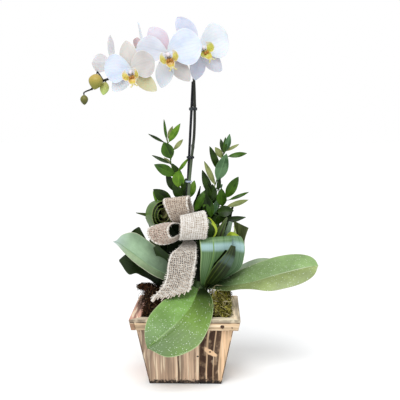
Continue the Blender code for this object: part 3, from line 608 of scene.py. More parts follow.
def edge_marks(look, sideways, edges, foot):
    """Charred dark lines with painted joint shade, and on a wall board the burnt edge at the planter's
    corner.
    """
    marks = []
    for place, half, strength in edges:
        worn = look.fade(look.noise(110, 3), 0.36, 0.56, 0.15, strength)
        marks.append(look.times(look.near(sideways, place, half, 0.0009), worn))
    if foot:
        side = look.plus(look.times(look.z, WALL_FLARE), WALL_FOOT)
        left = look.minus(side, look.math("ABSOLUTE", sideways))
        worn = look.fade(look.noise(70, 3), 0.34, 0.56, 0.0, 0.9)
        marks.append(look.times(look.fade(left, 0.0008, 0.0024, 1.0, 0.0), worn))
    return marks


def add_knot(look, colour, sideways, lengthways, light, knot):
    """A pale ragged flare with a small dark heart."""
    place, height, width, tall, slope = knot
    dx = look.minus(sideways, place)
    dz = look.minus(lengthways, height)
    flare = look.math("SQRT", round_off(look, dx, look.plus(dz, look.times(dx, slope)), width, tall))
    flare = look.plus(flare, look.wobble(180, 2, 1.1))
    colour = look.mix(look.fade(flare, 0.75, 1.1, 1.0, 0.0), colour, rgb(*scaled(light, 1.05), BOARD_GAIN))
    heart = round_off(look, dx, dz, *KNOT_HEART)
    return look.mix(look.fade(heart, 0.6, 1.6, 1.0, 0.0), colour, HEART_BROWN)


def round_off(look, dx, dz, width, height):
    """The square of how far a point is from the middle of an oval, 1 on its rim."""
    return look.plus(*(look.math("POWER", look.math("DIVIDE", offset, half), 2.0)
                       for offset, half in ((dx, width), (dz, height))))


def strand_look(name, *colours):
    """Dry fibres: patches of several colours."""
    look = Look(name, 0.9, Specular_IOR_Level=0.1)
    patches = look.noise(130, 2)
    colour = colours[0]
    for i, other in enumerate(colours[1:]):
        low = 0.38 + 0.1 * i
        colour = look.mix(look.fade(patches, low, low + 0.08), colour, other)
    look.bump(look.noise(1200, 2), 0.4, 0.3 * MM)
    return look.finish(colour)


def mottled_look(name, roughness, dark, light, scale=200, end=0.6, bump=0.0, **sockets):
    """Metal or plastic whose colour drifts between two shades."""
    look = Look(name, roughness, **sockets)
    drift = look.noise(scale, 2)
    if bump:
        look.bump(drift, bump, 0.3 * MM)
    return look.finish(look.mix(look.fade(drift, 0.4, end), dark, light))


def yarn_look(name, light, dark, fuzz=(235, 225, 210)):
    """Jute yarn: uneven colour and twisted fibres."""
    look = Look(name, 0.9, Sheen_Weight=0.35, Sheen_Roughness=0.6)
    patches = look.noise(210, 3)
    colour = look.mix(look.fade(patches, 0.38, 0.68), light, dark)
    twist = look.waves(look.join(look.plus(look.across, look.times(look.along, 30.0)), 0.0, 0.0), 2.0, 1.0)
    colour = look.mix(look.fade(twist, 0.6, 1.0, 0.0, 0.35), colour, scaled(dark, 0.7))
    colour = look.mix(look.fade(look.noise(900, 2), 0.62, 0.72, 0.0, 0.6), colour, fuzz)
    look.bump(twist, 0.5, 0.2 * MM)
    return look.finish(colour)


# Planter

TAN = (224, 188, 150)
PALE = (228, 208, 178)
# The left batten's colour: darker end grain, with the shade its end stands in painted in.
END_BROWN = (164, 130, 104)
CREAM = (246, 222, 192)
BATTEN_TAN = (206, 178, 144)
PINK = (222, 168, 146)
GREY_TAN = (214, 182, 154)
BATTEN_FRONT = -84.1
NAIL_PLACES = ((-75.2, 101.0), (73.1, 98.1))
SCREW_PLACE = (58.1, 100.0)
# Radius and height of each head's outline.
NAIL_HEAD = ((1.0, -1.0), (1.1, 0.1), (0.9, 0.35), (0.3, 0.45))
SCREW_HEAD = ((2.4, -1.0), (3.0, 0.1), (3.1, 0.6), (2.6, 0.9), (2.1, 0.6), (1.9, 0.1), (0.5, 0.05))
# Each wall board: the axis across it, a seed, its colour, how scorched it is, its stripes and its knots.
BOARDS = {
    "front_a": ("x", 1.3, GREY_TAN, 0.3,
                [(-0.0112, 0.0005, 0.9), (0.0165, 0.0012, 0.35), (-0.03, 0.003, 0.25)],
                [(0.0198, 0.0475, 0.0001, 0.0001, 0.0)]),
    "front_b": ("x", 4.1, TAN, 0.15, [(0.0286, 0.0043, 1.0), (0.0405, 0.0037, 1.0), (0.05, 0.003, 0.95)],
                [(0.0391, 0.0552, 0.0125, 0.0052, 0.62)]),
    "right_a": ("y", 7.7, TAN, 0.6, [(-0.035, 0.004, 0.9), (-0.022, 0.003, 0.8)], []),
    "right_b": ("y", 9.2, GREY_TAN, 0.4, [(0.03, 0.003, 0.8)], [(0.012, 0.06, 0.009, 0.006, 0.3)]),
    "back_a": ("x", 12.5, GREY_TAN, 0.5, [(-0.028, 0.004, 0.85)], []),
    "back_b": ("x", 15.9, TAN, 0.4, [(0.034, 0.003, 0.9), (0.022, 0.002, 0.7)], []),
    "left_a": ("y", 18.1, PINK, 0.4, [(-0.03, 0.003, 0.8)], [(-0.01, 0.04, 0.008, 0.006, 0.3)]),
    "left_b": ("y", 21.4, TAN, 0.55, [(0.036, 0.004, 0.9)], []),
}
# Each side of the rim: the axes across and along its cap, which way is outwards on the first, the colours
# of its batten and its cap, and how scorched the cap is.
RIM = {
    "front": ("y", "x", -1, BATTEN_TAN, CREAM, 0.1),
    "right": ("x", "y", 1, PALE, PALE, 0.1),
    "back": ("y", "x", 1, PALE, TAN, 0.35),
    "left": ("x", "y", -1, END_BROWN, PINK, 0.6),
}
# Dark lines along the battens, and along the caps as places measured outwards: charred edges, with
# the shade of the joints beside them painted in.
BATTEN_LINES = [(0.1062, 0.0007, 0.85), (0.0932, 0.0004, 0.5)]
CAP_LINES = ((0.0858, 0.0003, 0.6), (0.0686, 0.0008, 0.8))


def dress_planter():
    """Wood for the CAD boards, battens, caps and bottom, and soil for the potting mix."""
    for board, (across, seed, light, burnt, stripes, knots) in BOARDS.items():
        node = f"wall_{board}"
        paint(node, wood_look(node, across, "z", seed, light, stripes, knots, burnt=burnt, foot=True))
    for i, (side, (across, along, outwards, batten, cap, burnt)) in enumerate(RIM.items()):
        node = f"batten_{side}"
        paint(node, wood_look(node, "z", along, 30.0 + i, batten, edges=BATTEN_LINES))
        node = f"cap_{side}"
        lines = [(outwards * place, half, strength) for place, half, strength in CAP_LINES]
        paint(node, wood_look(node, across, along, 40.0 + i, cap, edges=lines, burnt=burnt))
    paint("bottom_board", wood_look("bottom_board", "x", "y", 50.0, TAN, burnt=0.5))
    paint("potting_mix", strand_look("potting_mix", (40, 28, 20), (62, 44, 30), (30, 22, 18)))


def paint(node, material):
    """Give a CAD node one new material."""
    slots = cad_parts[node].data.materials
    slots.clear()
    slots.append(material)


def build_nails():
    """Small driven nail heads on the front batten, and one round screw head."""
    steel = mottled_look("nail_steel", 0.5, (70, 62, 58), (110, 74, 50), 700, 0.65, Metallic=0.8)
    nails = Shape("nails")
    for x, z in NAIL_PLACES:
        nails.egg(mm((x, BATTEN_FRONT, z)), FRONT, mm(NAIL_HEAD), 12)
    x, z = SCREW_PLACE
    nails.egg(mm((x, BATTEN_FRONT, z)), FRONT, mm(SCREW_HEAD), 20)
    nails.make([steel])


# Orchid plant

# Each orchid leaf from the crown to its tip: left edge, midrib and right edge.
FRONT_LEAF = (
    [(13, -6, 148), (-9, -38, 145), (-36, -66, 134), (-53, -90, 119), (-59, -106, 103), (-58, -117, 88),
     (-54, -124, 77)],
    [(20, -6, 146), (17, -42, 139), (8, -72, 126), (-7, -94, 112), (-28, -109, 96), (-45, -119, 84),
     (-54, -124, 77)],
    [(27, -6, 146), (40, -42, 139), (44, -72, 124), (36, -100, 99), (19, -117, 77), (-22, -129, 65),
     (-54, -124, 77)],
)
LEFT_LEAF = (
    [(12, -4, 150), (-6, -9, 164), (-23, -10, 180), (-43, -6, 205), (-56, -4, 217), (-69, -6, 226),
     (-82, -10, 234), (-92, -16, 236), (-103, -22, 233), (-110, -28, 226), (-115, -31, 223)],
    [(12, -10, 148), (-10, -22, 160), (-29, -28, 169), (-44, -36, 177), (-60, -38, 187), (-76, -38, 199),
     (-90, -36, 209), (-103, -34, 218), (-110, -33, 222), (-115, -31, 223)],
    [(12, -14, 145), (-9, -28, 151), (-31, -36, 161), (-41, -42, 167), (-56, -46, 175), (-72, -46, 186),
     (-86, -43, 197), (-98, -39, 207), (-108, -35, 217), (-115, -31, 223)],
)
RIGHT_LEAF = (
    [(26, 0, 150), (44, 2, 151), (65, 5, 157), (97, 10, 175), (124, 12, 185), (153, 10, 194),
     (173, 8, 198), (189, 4, 198), (202, -2, 195), (209, -10, 190), (212, -20, 184)],
    [(26, -5, 148), (44, -10, 148), (64, -15, 149), (103, -20, 156), (141, -22, 168), (167, -22, 175),
     (192, -21, 181), (212, -20, 184)],
    [(26, -10, 145), (44, -20, 144), (64, -28, 144), (86, -34, 148), (109, -38, 148), (131, -42, 147),
     (156, -42, 151), (178, -40, 156), (195, -36, 164), (206, -30, 173), (212, -20, 184)],
)
BACK_LEAF = (
    [(24, 4, 148), (45, 12, 152), (68, 22, 163), (95, 34, 177), (115, 41, 184), (129, 44, 185),
     (143, 46, 182), (154, 46, 176)],
    [(24, 2, 146), (45, 10, 148), (68, 18, 154), (95, 28, 163), (118, 34, 169), (138, 40, 173),
     (154, 46, 176)],
    [(24, 0, 145), (45, 8, 145), (70, 14, 149), (95, 22, 155), (118, 28, 159), (140, 38, 166),
     (154, 46, 176)],
)
# How thick an orchid leaf is, and how deep its waves, the groove on its midrib and its belly are.
ORCHID_LEAF = 1.9 * MM
LEAF_RIPPLE = 0.8 * MM
LEAF_GROOVE = 0.9 * MM
LEAF_BELLY = 1.1 * MM
CROWN_CENTRE = mm((20, -5, 134))


def loft(rails, rows=60, columns=20, waves=3):
    """A grid of points through a left edge, a midrib and a right edge, with a groove on the midrib."""
    shares = rounded(rows)
    left, middle, right = (smooth_path(mm(rail), shares)[:, None] for rail in rails)
    along = np.gradient(middle[:, 0], axis=0)[:, None]
    normal = unit(np.cross(right - left, along))
    t = np.linspace(-1, 1, columns + 1)[None, :, None]
    curved = left * t * (t - 1) / 2 + middle * (1 - t * t) + right * t * (t + 1) / 2
    creased = np.where(t > 0, middle + (right - middle) * t, middle + (left - middle) * -t)
    wave = np.sin(2 * np.pi * waves * shares)[:, None, None] * LEAF_RIPPLE * t
    sink = -LEAF_GROOVE * np.exp(-((t / 0.07) ** 2))
    belly = LEAF_BELLY * np.sin(np.pi * np.abs(t)) * np.sin(np.pi * shares)[:, None, None]
    return (curved + creased) / 2 + normal * (wave + sink + belly)


def build_orchid_plant():
    under = leaf_look("orchid_leaf_under", (108, 130, 82), (112, 136, 86), (150, 156, 110), 0.5)
    looks = {
        "front": leaf_look("leaf_front", (132, 174, 90), (110, 144, 54), (176, 196, 136), 0.38,
                           vein=((152, 188, 104), 0.4, 0.0), speckles=0.9, base=((100, 146, 72), 0.1),
                           tip=((86, 116, 60), 0.4), shadow=((16, 27, 8), 0.24, 0.52)),
        # The left leaf's pale bluish tip is a painted sheen.
        "left": leaf_look("leaf_left", (156, 184, 150), (140, 162, 120), (208, 212, 182), 0.36,
                          vein=((128, 160, 118), 0.0, 0.8), speckles=0.12, base=((20, 38, 14), 0.64),
                          tip=((196, 212, 212), 0.68)),
        "right": leaf_look("leaf_right", (138, 168, 106), (146, 162, 98), (176, 186, 140), 0.4,
                           vein=((214, 224, 196), 0.35, 0.0), speckles=0.7, base=((34, 60, 24), 0.5)),
        "back": leaf_look("leaf_back", (150, 170, 136), (110, 138, 96), (178, 180, 160), 0.42, speckles=0.25,
                          base=((66, 96, 54), 0.5)),
    }
    rails = {"front": FRONT_LEAF, "left": LEFT_LEAF, "right": RIGHT_LEAF, "back": BACK_LEAF}
    for side, lines in rails.items():
        leaf = Shape(f"orchid_leaf_{side}")
        grid = loft(lines)
        facing = np.cross(np.gradient(grid, axis=1), np.gradient(grid, axis=0)).sum((0, 1)) @ (FRONT + UP)
        leaf.sheet(grid, ORCHID_LEAF, *((0, 1) if facing > 0 else (1, 0)))
        leaf.make([looks[side], under], ["orchid_leaves"])
    crown = Shape("orchid_crown")
    crown.egg(CROWN_CENTRE, UP, ball_profile(11.6 * MM, 26.5 * MM, 16), 24, lobes=4, depth=0.12)
    for turn, height in ((40, 0), (160, 3), (250, -2), (330, 4)):
        add_sheath(crown, math.radians(turn), height)
    look = leaf_look("crown_green", (76, 104, 50), (64, 92, 42), (110, 136, 80), 0.4)
    crown.make([look], ["orchid_leaves"])


def add_sheath(crown, turn, height):
    """The clasping foot of a leaf, wrapped round the crown."""
    out = np.array([math.cos(turn), math.sin(turn), 0])
    profile = ((8, -18), (10.5, 0), (11, 12), (7, 24 + height))
    line = [CROWN_CENTRE + (out * reach + UP * rise) * MM for reach, rise in profile]
    path = smooth_path(line, even(10))[:, None]
    widths = spread([9, 10, 8, 3], even(10))[:, None, None] * MM
    t = np.linspace(1, -1, 9)[None, :, None]
    crown.sheet(path + np.cross(UP, out) * widths * t - out * widths * t * t * 0.5, 1.4 * MM)


# Flowers

# Each bloom: its middle, the way it faces, its lean in degrees and its size.
BLOOMS = {
    "a": ((-81, -52, 488), (-0.12, -0.98, -0.1), -12, 1.06),
    "b": ((-27, -28, 515), (0.08, -1.0, 0.0), -15, 1.2),
    "c": ((22, 10, 529), (0.5, -0.86, 0.05), -32, 1.22),
    "d": ((-121, 26, 509), (-0.7, 0.7, 0.05), 12, 1.0),
    "e": ((-73, 54, 538), (0.78, 0.62, 0.1), 2, 0.95),
}
# Each part of a bloom: the way it points in degrees, length, half width, set back, curl, lean, how far up
# its foot is, and tint. The two petals come first, then the top sepal and the two lower ones.
PARTS = {
    "a": ((85, 36, 20, -1.2, 2, 1.2, 7, "grey"), (-78, 40, 21, -1.2, 2, 1.3, 7, "cool"),
          (0, 41, 13, 2.2, 5, 1.1, 6, "warm"), (143, 46, 11.5, 2.2, 4, 1.1, 4, "cream"),
          (-122, 43, 12, 2.2, 4, 1.05, 4, "pale")),
    "b": ((90, 46, 24, -1.2, 2, 1.25, 6, "cool"), (-62, 41, 17, -1.2, 2, 1.3, 4, "white"),
          (-19, 40, 14, 2.2, 5, 1.15, 5, "pink"), (154, 44, 11, 2.2, 4, 1.1, 2, "grey"),
          (-154, 43, 12, 2.2, 4, 1.05, 2, "pale")),
    "c": ((100, 48, 24, -1.2, 2, 1.3, 3, "pale"), (-62, 40, 19, -1.2, 2, 1.3, 4, "cool"),
          (-4, 46, 14, 2.2, 5, 1.25, 5, "blue"), (158, 44, 12, 2.2, 4, 1.1, 0, "white"),
          (-140, 40, 12, 2.2, 4, 1.05, 0, "blue")),
    "d": ((80, 43, 15, -1.2, 2, 1.3, 0, "lit"), (-98, 38, 15, -1.2, 2, 1.3, 0, "pale"),
          (4, 46, 7, 2.2, 5, 1.1, 0, "lit"), (146, 30, 11, 2.2, 4, 1.05, 0, "pale"),
          (-124, 38, 11, 2.2, 4, 1.05, 0, "cool")),
    "e": ((66, 33, 10, -1.2, 2, 1.5, 0, "blush"), (-68, 34, 13, -1.2, 2, 1.3, 0, "pale"),
          (4, 44, 4, 2.2, 2, 1.05, 0, "pale"), (124, 36, 11, 2.2, 4, 1.05, 0, "cool"),
          (-124, 36, 11, 2.2, 4, 1.05, 0, "cool")),
}
# A petal: its thickness, the half width of its foot, and how much it folds forward at its edges.
PETAL = 0.7 * MM
PETAL_CLAW = 2.5
PETAL_FOLD = 0.12
# Fullness of the outline and height of the frill: petals, then sepals.
OUTLINES = ((0.55, 1.1), (0.68, 0.7))
BLOOM_HUB = ((1.4, -5.2), (2.4, -4.4), (4.0, -2.4), (4.4, 0), (3.4, 2.6), (1.6, 4.2))
# Each tint of petal: its main colour, shadow and blush, and how far along a wide blush reaches.
# lit and grey are a brighter and a darker copy of the white: painted light on petals that face away from the
# lamps, and painted shade.
TINTS = {
    "white": ((230, 234, 244), (218, 224, 236), (232, 230, 224)),
    "cool": ((229, 238, 251), (212, 224, 243), (226, 230, 228)),
    "pale": ((242, 248, 253), (230, 239, 248), (238, 240, 236)),
    "warm": ((222, 219, 213), (208, 205, 200), (222, 210, 204)),
    "pink": ((224, 220, 231), (214, 206, 218), (226, 192, 204), 0.7),
    "blush": ((222, 200, 204), (198, 176, 180), (206, 180, 184)),
    "blue": ((224, 230, 245), (208, 216, 236), (214, 209, 220)),
    "lit": ((255, 255, 255), (250, 250, 255), (252, 248, 255)),
    "cream": ((228, 226, 198), (214, 212, 174), (200, 196, 128), 0.9),
    "grey": ((214, 211, 208), (200, 198, 196), (226, 224, 216), 0.6),
}
# The lips of the three front blooms: side lobes, stripes and middle lobe. The back blooms have the first.
LOBES = {
    "a": ((252, 240, 122), (150, 80, 30), (226, 186, 88)),
    "b": ((250, 242, 126), (120, 58, 30), (214, 160, 76)),
    "c": ((234, 238, 100), (170, 150, 56), (226, 218, 84)),
}
# The lobes of a lip in a bloom of size 1: middle line, the way across from foot to end, and half widths.
SIDE_LOBE = (
    [(1.5, -6.5, 4), (5.8, -7.5, 8), (8.4, -3.5, 11), (8.6, 2, 12), (6.8, 6, 11.4)],
    [(0.2, -0.4, 0.9), (0.55, -0.3, 0.8), (0.7, -0.05, 0.7), (0.62, 0.2, 0.75), (0.45, 0.35, 0.8)],
    [3.8, 6.2, 6.6, 4.8, 1.0],
)
MIDDLE_LOBE = (
    [(0, -3, 4.5), (0, -7, 9), (0, -11, 12), (0.5, -14.5, 12.4), (1, -17.5, 11)],
    [(1, 0, 0.1), (1, 0, -0.1)],
    [4.2, 6.0, 6.4, 5.0, 1.4],
)
LIP_TAIL = [(1.6, -16, 11.5), (3.4, -18.5, 11), (4.6, -19.5, 12), (5.6, -18, 13.4)]
COLUMN_LINE = [(0, 1.0, 2.5), (0, 2.0, 6.0), (0, 1.4, 9.0), (0, 0.2, 11.0)]
COLUMN_RADII = [3.0, 2.9, 3.1, 1.5]
LIP = 0.6 * MM
# Places in a lip's list of looks.
SIDE, OUTSIDE, MIDDLE, TAIL, CALLUS, COLUMN, HOLLOW = range(7)
# The spike's middle line from the soil, and the heights of its nodes in metres.
SPIKE = [
    (-1, 11, 106), (-1, 11, 130), (-1, 11, 154), (1, 11, 230), (3, 11, 300), (8, 11, 355), (12, 11, 392),
    (13, 11, 433), (12, 12, 478), (9, 19, 502), (-4, 26, 517), (-27, 24, 526), (-59, 14, 522),
    (-90, 4, 509), (-112, -4, 491), (-123, -8, 482), (-131, -10, 479), (-140, -12, 473), (-150, -15, 465),
]
SPIKE_NODES = (0.196, 0.288, 0.372, 0.440)
STAKE = [(-9.6, 16, 106), (10, 16, 478)]
# Each clip: the height of its foot, its height and its look.
CLIPS = {"clip_top": (432, 5, "clip"), "clip_middle": (354, 4, "clip"), "stem_tie": (315, 3, "tie")}
# Each bud: its middle, the way to its stalk, its half width and its half length.
BUDS = {
    "a": ((-141, -29, 476), (0.15, 0.12, 1), 11.3, 12.6),
    "b": ((-129, -18, 466), (0.15, 0.3, 1), 7.5, 11),
    "c": ((-160, -25, 448), (-0.05, 0.1, 1), 6.3, 8),
}
# Each bud's colours at its low and its high end, and those heights.
BUD_SKINS = {
    "gold": ((150, 148, 60), (196, 172, 88), 0.468, 0.486),
    "green": ((206, 230, 134), (206, 206, 118), 0.456, 0.474),
    "small": ((84, 88, 30), (126, 122, 60), 0.440, 0.455),
}
BUD_SPUR = mm((9, 6, -2))
# A flower stalk leaves the spike this far behind the bloom and this far down.
STALK_REACH = 31 * MM
STALK_DROP = 8 * MM
HUB_RADIUS = 4.5
# A clip's band: how far it runs from the middle of stem and stake, and half its thickness.
BAND_REACH = 3.6 * MM
BAND_HALF = 0.6 * MM


class Placed:
    """The frame of one bloom: points drawn facing +Z with the top sepal along +Y are put in place."""

    def __init__(self, centre, facing, lean, size):
        self.front = unit(facing)
        side = unit(np.cross(UP, self.front))
        top = np.cross(self.front, side)
        angle = -math.radians(lean)
        self.side = side * math.cos(angle) + top * math.sin(angle)
        self.top = top * math.cos(angle) - side * math.sin(angle)
        self.size = size
        self.centre = mm(centre)

    def __call__(self, points):
        points = np.asarray(points, float) * MM * self.size
        axes = np.stack([self.side, self.top, self.front])
        return self.centre + points @ axes

    def turn(self, vector):
        return np.asarray(vector, float) @ np.stack([self.side, self.top, self.front])


def petal_grid(part, fullness, ruffle, phase, rows=30, columns=18):
    """Points of one petal or sepal that leaves the middle of the bloom, in its own frame."""
    angle, length, half, back, curl, lean, up, _ = part
    turn = math.radians(angle)
    out = np.array([math.sin(turn), math.cos(turn), 0])
    side = np.array([math.cos(turn), -math.sin(turn), 0])
    s = rounded(rows)[:, None]
    t = np.linspace(-1, 1, columns + 1)[None, :]
    width = oval(s[:, 0], half, fullness, lean, PETAL_CLAW)[:, None]
    edge = np.abs(t)
    lift = PETAL_FOLD * edge**1.6 * width * (1 - 0.7 * s) - 0.5 * np.exp(-((t / 0.12) ** 2)) * (1 - s)
    frill = ruffle * edge**3 * np.sin(2 * np.pi * (1.6 * s + phase) + np.sign(t) * 1.1) * np.sqrt(s)
    depth = -(back + curl * s**2) + lift + frill
    flat = out * length * s[..., None] + side * (width * t)[..., None]
    return flat + UP * depth[..., None] + np.array([0, up, 0])


def build_bloom(name, place, tints, column):
    bloom = Shape(f"petals_{name}")
    names = list(tints)
    for number, part in enumerate(PARTS[name]):
        grid = petal_grid(part, *OUTLINES[number > 1], 0.37 * number + ord(name) * 0.21)
        bloom.sheet(place(grid), PETAL, names.index(part[-1]), rim=0.5)
    add_egg(bloom, place, (0, 0, 0), (0, 0, 1), BLOOM_HUB, 18, len(names))
    bloom.make([*tints.values(), column], [f"bloom_{name}"])


def add_egg(shape, place, centre, axis, profile, sides, look):
    """A turned form in the frame of a bloom."""
    shape.egg(place(centre), place.turn(axis), mm(profile) * place.size, sides, look)


def lip_sheet(lip, place, path, across, widths, back, arch, columns=10, rows=18):
    """A lobe of the lip along a path, with the way across it given from its foot to its end."""
    shares = even(rows)
    line = smooth_path(np.array(path, float), shares)[:, None]
    side = unit(np.stack([spread(axis, shares) for axis in np.transpose(across)], -1))[:, None]
    t = np.linspace(-1, 1, columns + 1)[None, :, None]
    half = spread(widths, shares)[:, None, None]
    along = unit(np.gradient(line[:, 0], axis=0))[:, None]
    normal = unit(np.cross(np.broadcast_to(side, line.shape), along))
    grid = line + side * half * t + normal * arch * (t * t - 0.3) * half
    lip.sheet(place(grid), LIP, OUTSIDE, back, rim=0.5)


def build_lip(name, place, looks):
    """Column with its cap, two side lobes that form a cup, a callus and a middle lobe with two tails."""
    lip = Shape(f"lip_detail_{name}")
    for side in (-1, 1):
        path, across, widths = SIDE_LOBE
        lip_sheet(lip, place, mirrored(side, path), -side * mirrored(side, across), widths, SIDE, -0.1)
    lip_sheet(lip, place, *MIDDLE_LOBE, MIDDLE, 0.3)
    for side in (-1, 1):
        curl = mirrored(side, LIP_TAIL) + (1, 0, 0)
        lip.tube(place(smooth_path(curl, even(12))), np.linspace(1.1, 0.3, 13) * MM * place.size, 8, TAIL)
        ball = ball_profile(2.0, 2.4, 8)
        add_egg(lip, place, (1.9 * side, -6.2, 10.6), (0.2 * side, 0.25, 1), ball, 12, CALLUS)
    shares = even(14)
    radii = spread(COLUMN_RADII, shares) * MM * place.size
    lip.tube(place(smooth_path(COLUMN_LINE, shares)), radii, 16, COLUMN)
    add_egg(lip, place, (0, 0.9, 10.6), (0, -0.5, 1), ball_profile(2.5, 1.9, 9), 16, COLUMN)
    # Two small dark eggs under the cap of the column: painted shade in the hollow there.
    for side in (-1, 1):
        add_egg(lip, place, (1.5 * side, -2.2, 9.3), (0, -0.7, 1), ball_profile(0.9, 0.7, 7), 10, HOLLOW)
    lip.make(looks, [f"lip_{name}"])


def mirrored(side, points):
    return np.array(points, float) * (side, 1, 1)


def pointed_bud(bud, centre, axis, half, length):
    """An egg with a drawn-out tip and the seams of its closed sepals."""
    share = np.linspace(0, 1, 22)
    radii = half * np.maximum(np.sin(np.pi * share**0.86) ** 0.72, 0.03)
    bud.egg(centre, axis, list(zip(radii, length * (2 * share - 1))), 30, lobes=3, depth=0.09)


def lip_looks(column):
    """The looks of each lip, in the order of the names above."""
    outside = petal_look("lip_outside", (250, 248, 240), (240, 234, 210), (236, 220, 130), 0.7)
    tail = waxy_look("lip_tail", (232, 214, 90), (244, 240, 190), 0.4, 0.6)
    callus = waxy_look("lip_callus", (176, 104, 40), (206, 146, 60), 0.4, 0.6, spots=(130, 50, 26))
    # The hollow look is dark brown: painted shade under the column's cap.
    hollow = waxy_look("lip_hollow", (60, 28, 20), (84, 40, 28), 0.4, 0.6)
    looks = {}
    for name, (inner, stripe, middle) in LOBES.items():
        lobe = lip_look(f"lip_side_{name}", inner, (248, 242, 214), stripe, 0.9)
        front = lip_look(f"lip_middle_{name}", middle, (232, 214, 80), scaled(stripe, 0.85), 0.75)
        looks[name] = [lobe, outside, front, tail, callus, column, hollow]
    return looks


def add_main_stem(spike, path):
    """The spike, thicker at its nodes, with a bract on each."""
    share = even(len(path) - 1)
    swell = sum(np.exp(-(((path[:, 2] - z) / (3 * MM)) ** 2)) for z in SPIKE_NODES)
    spike.tube(path, 2.6 * MM * (1 - 0.25 * share) * (1 + 0.16 * swell), 14)
    for z in SPIKE_NODES:
        add_bract(spike, path[np.argmin(np.abs(path[:, 2] - z))], 1 if z < 0.3 else -1)


def add_stalk(spike, path, place):
    """A flower stalk from the spike to the back of a bloom."""
    behind = place.centre - place.front * (HUB_RADIUS * place.size + 0.1) * MM
    start = nearest(path, place.centre - place.front * STALK_REACH - UP * STALK_DROP)
    bend = behind - place.front * STALK_REACH / 2 - UP * STALK_DROP / 4
    spike.tube(smooth_path([start, bend, behind], even(20)), np.linspace(1.7, 1.3, 21) * MM, 10, 1)
    add_bract(spike, start, 0, 4)


def build_bud(spike, path, name, look):
    """A bud with its own short stalk from the spike."""
    centre, axis, half, length = BUDS[name]
    centre, axis = mm(centre), unit(axis)
    bud = Shape(f"bud_detail_{name}")
    pointed_bud(bud, centre, -axis, half * MM, length * MM)
    bud.make([look], [f"bud_{name}"])
    top = centre + axis * (length * MM)
    start = nearest(path, top + BUD_SPUR)
    spike.tube(smooth_path([start, top + axis * 3.5 * MM, top], even(14)), np.linspace(1.3, 1.1, 15) * MM, 8)
    add_bract(spike, start, 0, 3.5)


def build_flowers():
    tints = {tint: petal_look(f"petal_{tint}", *facts) for tint, facts in TINTS.items()}
    column = petal_look("column_white", (246, 240, 242), (232, 220, 228), (238, 214, 222), 0.4)
    lips = lip_looks(column)
    path = smooth_path(mm(SPIKE), even(150))
    spike = Shape("spike_and_stalks")
    add_main_stem(spike, path)
    for name, facts in BLOOMS.items():
        place = Placed(*facts)
        build_bloom(name, place, tints, column)
        build_lip(name, place, lips.get(name, lips["a"]))
        add_stalk(spike, path, place)
    for name, (skin, facts) in zip(BUDS, BUD_SKINS.items()):
        build_bud(spike, path, name, waxy_look(f"bud_{skin}", *facts))
    stem = waxy_look("spike_skin", (96, 112, 84), (30, 33, 22), 0.30, 0.40, roughness=0.5)
    stalk = waxy_look("stalk_skin", (150, 160, 110), (176, 182, 150), 0.47, 0.53)
    spike.make([stem, stalk], ["flower_spike"])


def nearest(path, target):
    return path[np.argmin(np.linalg.norm(path - target, axis=1))]


def add_bract(shape, place, side, size=6.0):
    """A small dry scale that clasps the stem."""
    out = unit((side or 0.4, -0.6, 0))
    across = np.cross(UP, out)
    shares = even(8)
    path = smooth_path([place - UP * size * 0.4 * MM + out * 1.9 * MM, place + out * 2.6 * MM,
                        place + UP * size * 0.7 * MM + out * 2.9 * MM], shares)[:, None]
    t = np.linspace(1, -1, 7)[None, :, None]
    half = oval(shares, size * 0.42 * MM, 0.8, 0.8, 0.8 * MM, 0.1 * MM)[:, None, None]
    shape.sheet(path + across * half * t - out * half * t * t * 0.7, 0.5 * MM)


def build_stake_and_clips():
    """The dark stake, and the two clips and the tie that hold the spike to it."""
    coat = mottled_look("stake_coat", 0.4, (12, 14, 20), (34, 38, 46), 300, 0.7, 0.1, Specular_IOR_Level=0.25)
    stake = Shape("stake_rod")
    low, high = mm(STAKE)
    path = np.concatenate([smooth_path([low, high], even(40)), high + unit(high - low) * mm([[0.6], [0.9]])])
    stake.tube(path, np.concatenate([np.linspace(1.5, 2.3, 41), [1.7, 0.6]]) * MM, 14)
    stake.make([coat], ["stake"])
    looks = {
        "tie": mottled_look("tie_plastic", 0.3, (176, 190, 214), (212, 220, 232)),
        "clip": mottled_look("clip_plastic", 0.4, (22, 28, 34), (60, 66, 70), Specular_IOR_Level=0.25),
    }
    spike = smooth_path(mm(SPIKE), even(400))
    for name, (foot, height, look) in CLIPS.items():
        middle = (foot + height / 2) * MM
        stem = spike[np.argmin(np.abs(spike[:, 2] - middle))]
        rod = low + (high - low) * (middle - low[2]) / (high[2] - low[2])
        band = Shape(f"{name}_band")
        add_band(band, stem, rod, middle, height * MM)
        band.make([looks[look]], [name])


def add_band(band, stem, rod, middle, height):
    """A rounded band round stem and stake, with two small ears where it snaps shut."""
    between = (stem - rod) * (1, 1, 0)
    line = []
    for angle in np.linspace(0, 2 * np.pi, 33)[:-1]:
        out = np.array([math.cos(angle), math.sin(angle), 0])
        point = (stem if out @ between > 0 else rod) + out * BAND_REACH
        line.append((point[0], point[1], middle))
    line = np.array(line)
    closed = np.concatenate([line, line[:1]])
    band.tube(closed, BAND_HALF, 10, normals=np.broadcast_to(UP, closed.shape), flat=height / BAND_HALF / 2)
    ear_at = line[np.argmin(line[:, 1])]
    for side in (-1, 1):
        path = [ear_at + RIGHT * side * 0.7 * MM, ear_at + RIGHT * side * 1.4 * MM + FRONT * 2.6 * MM]
        band.tube(smooth_path(path, even(6)), np.array([0.9, 1, 1, 1, 1, 0.9, 0.5]) * MM, 8,
                  normals=np.broadcast_to(UP, (7, 3)), flat=height / (2.2 * MM))


# Greenery

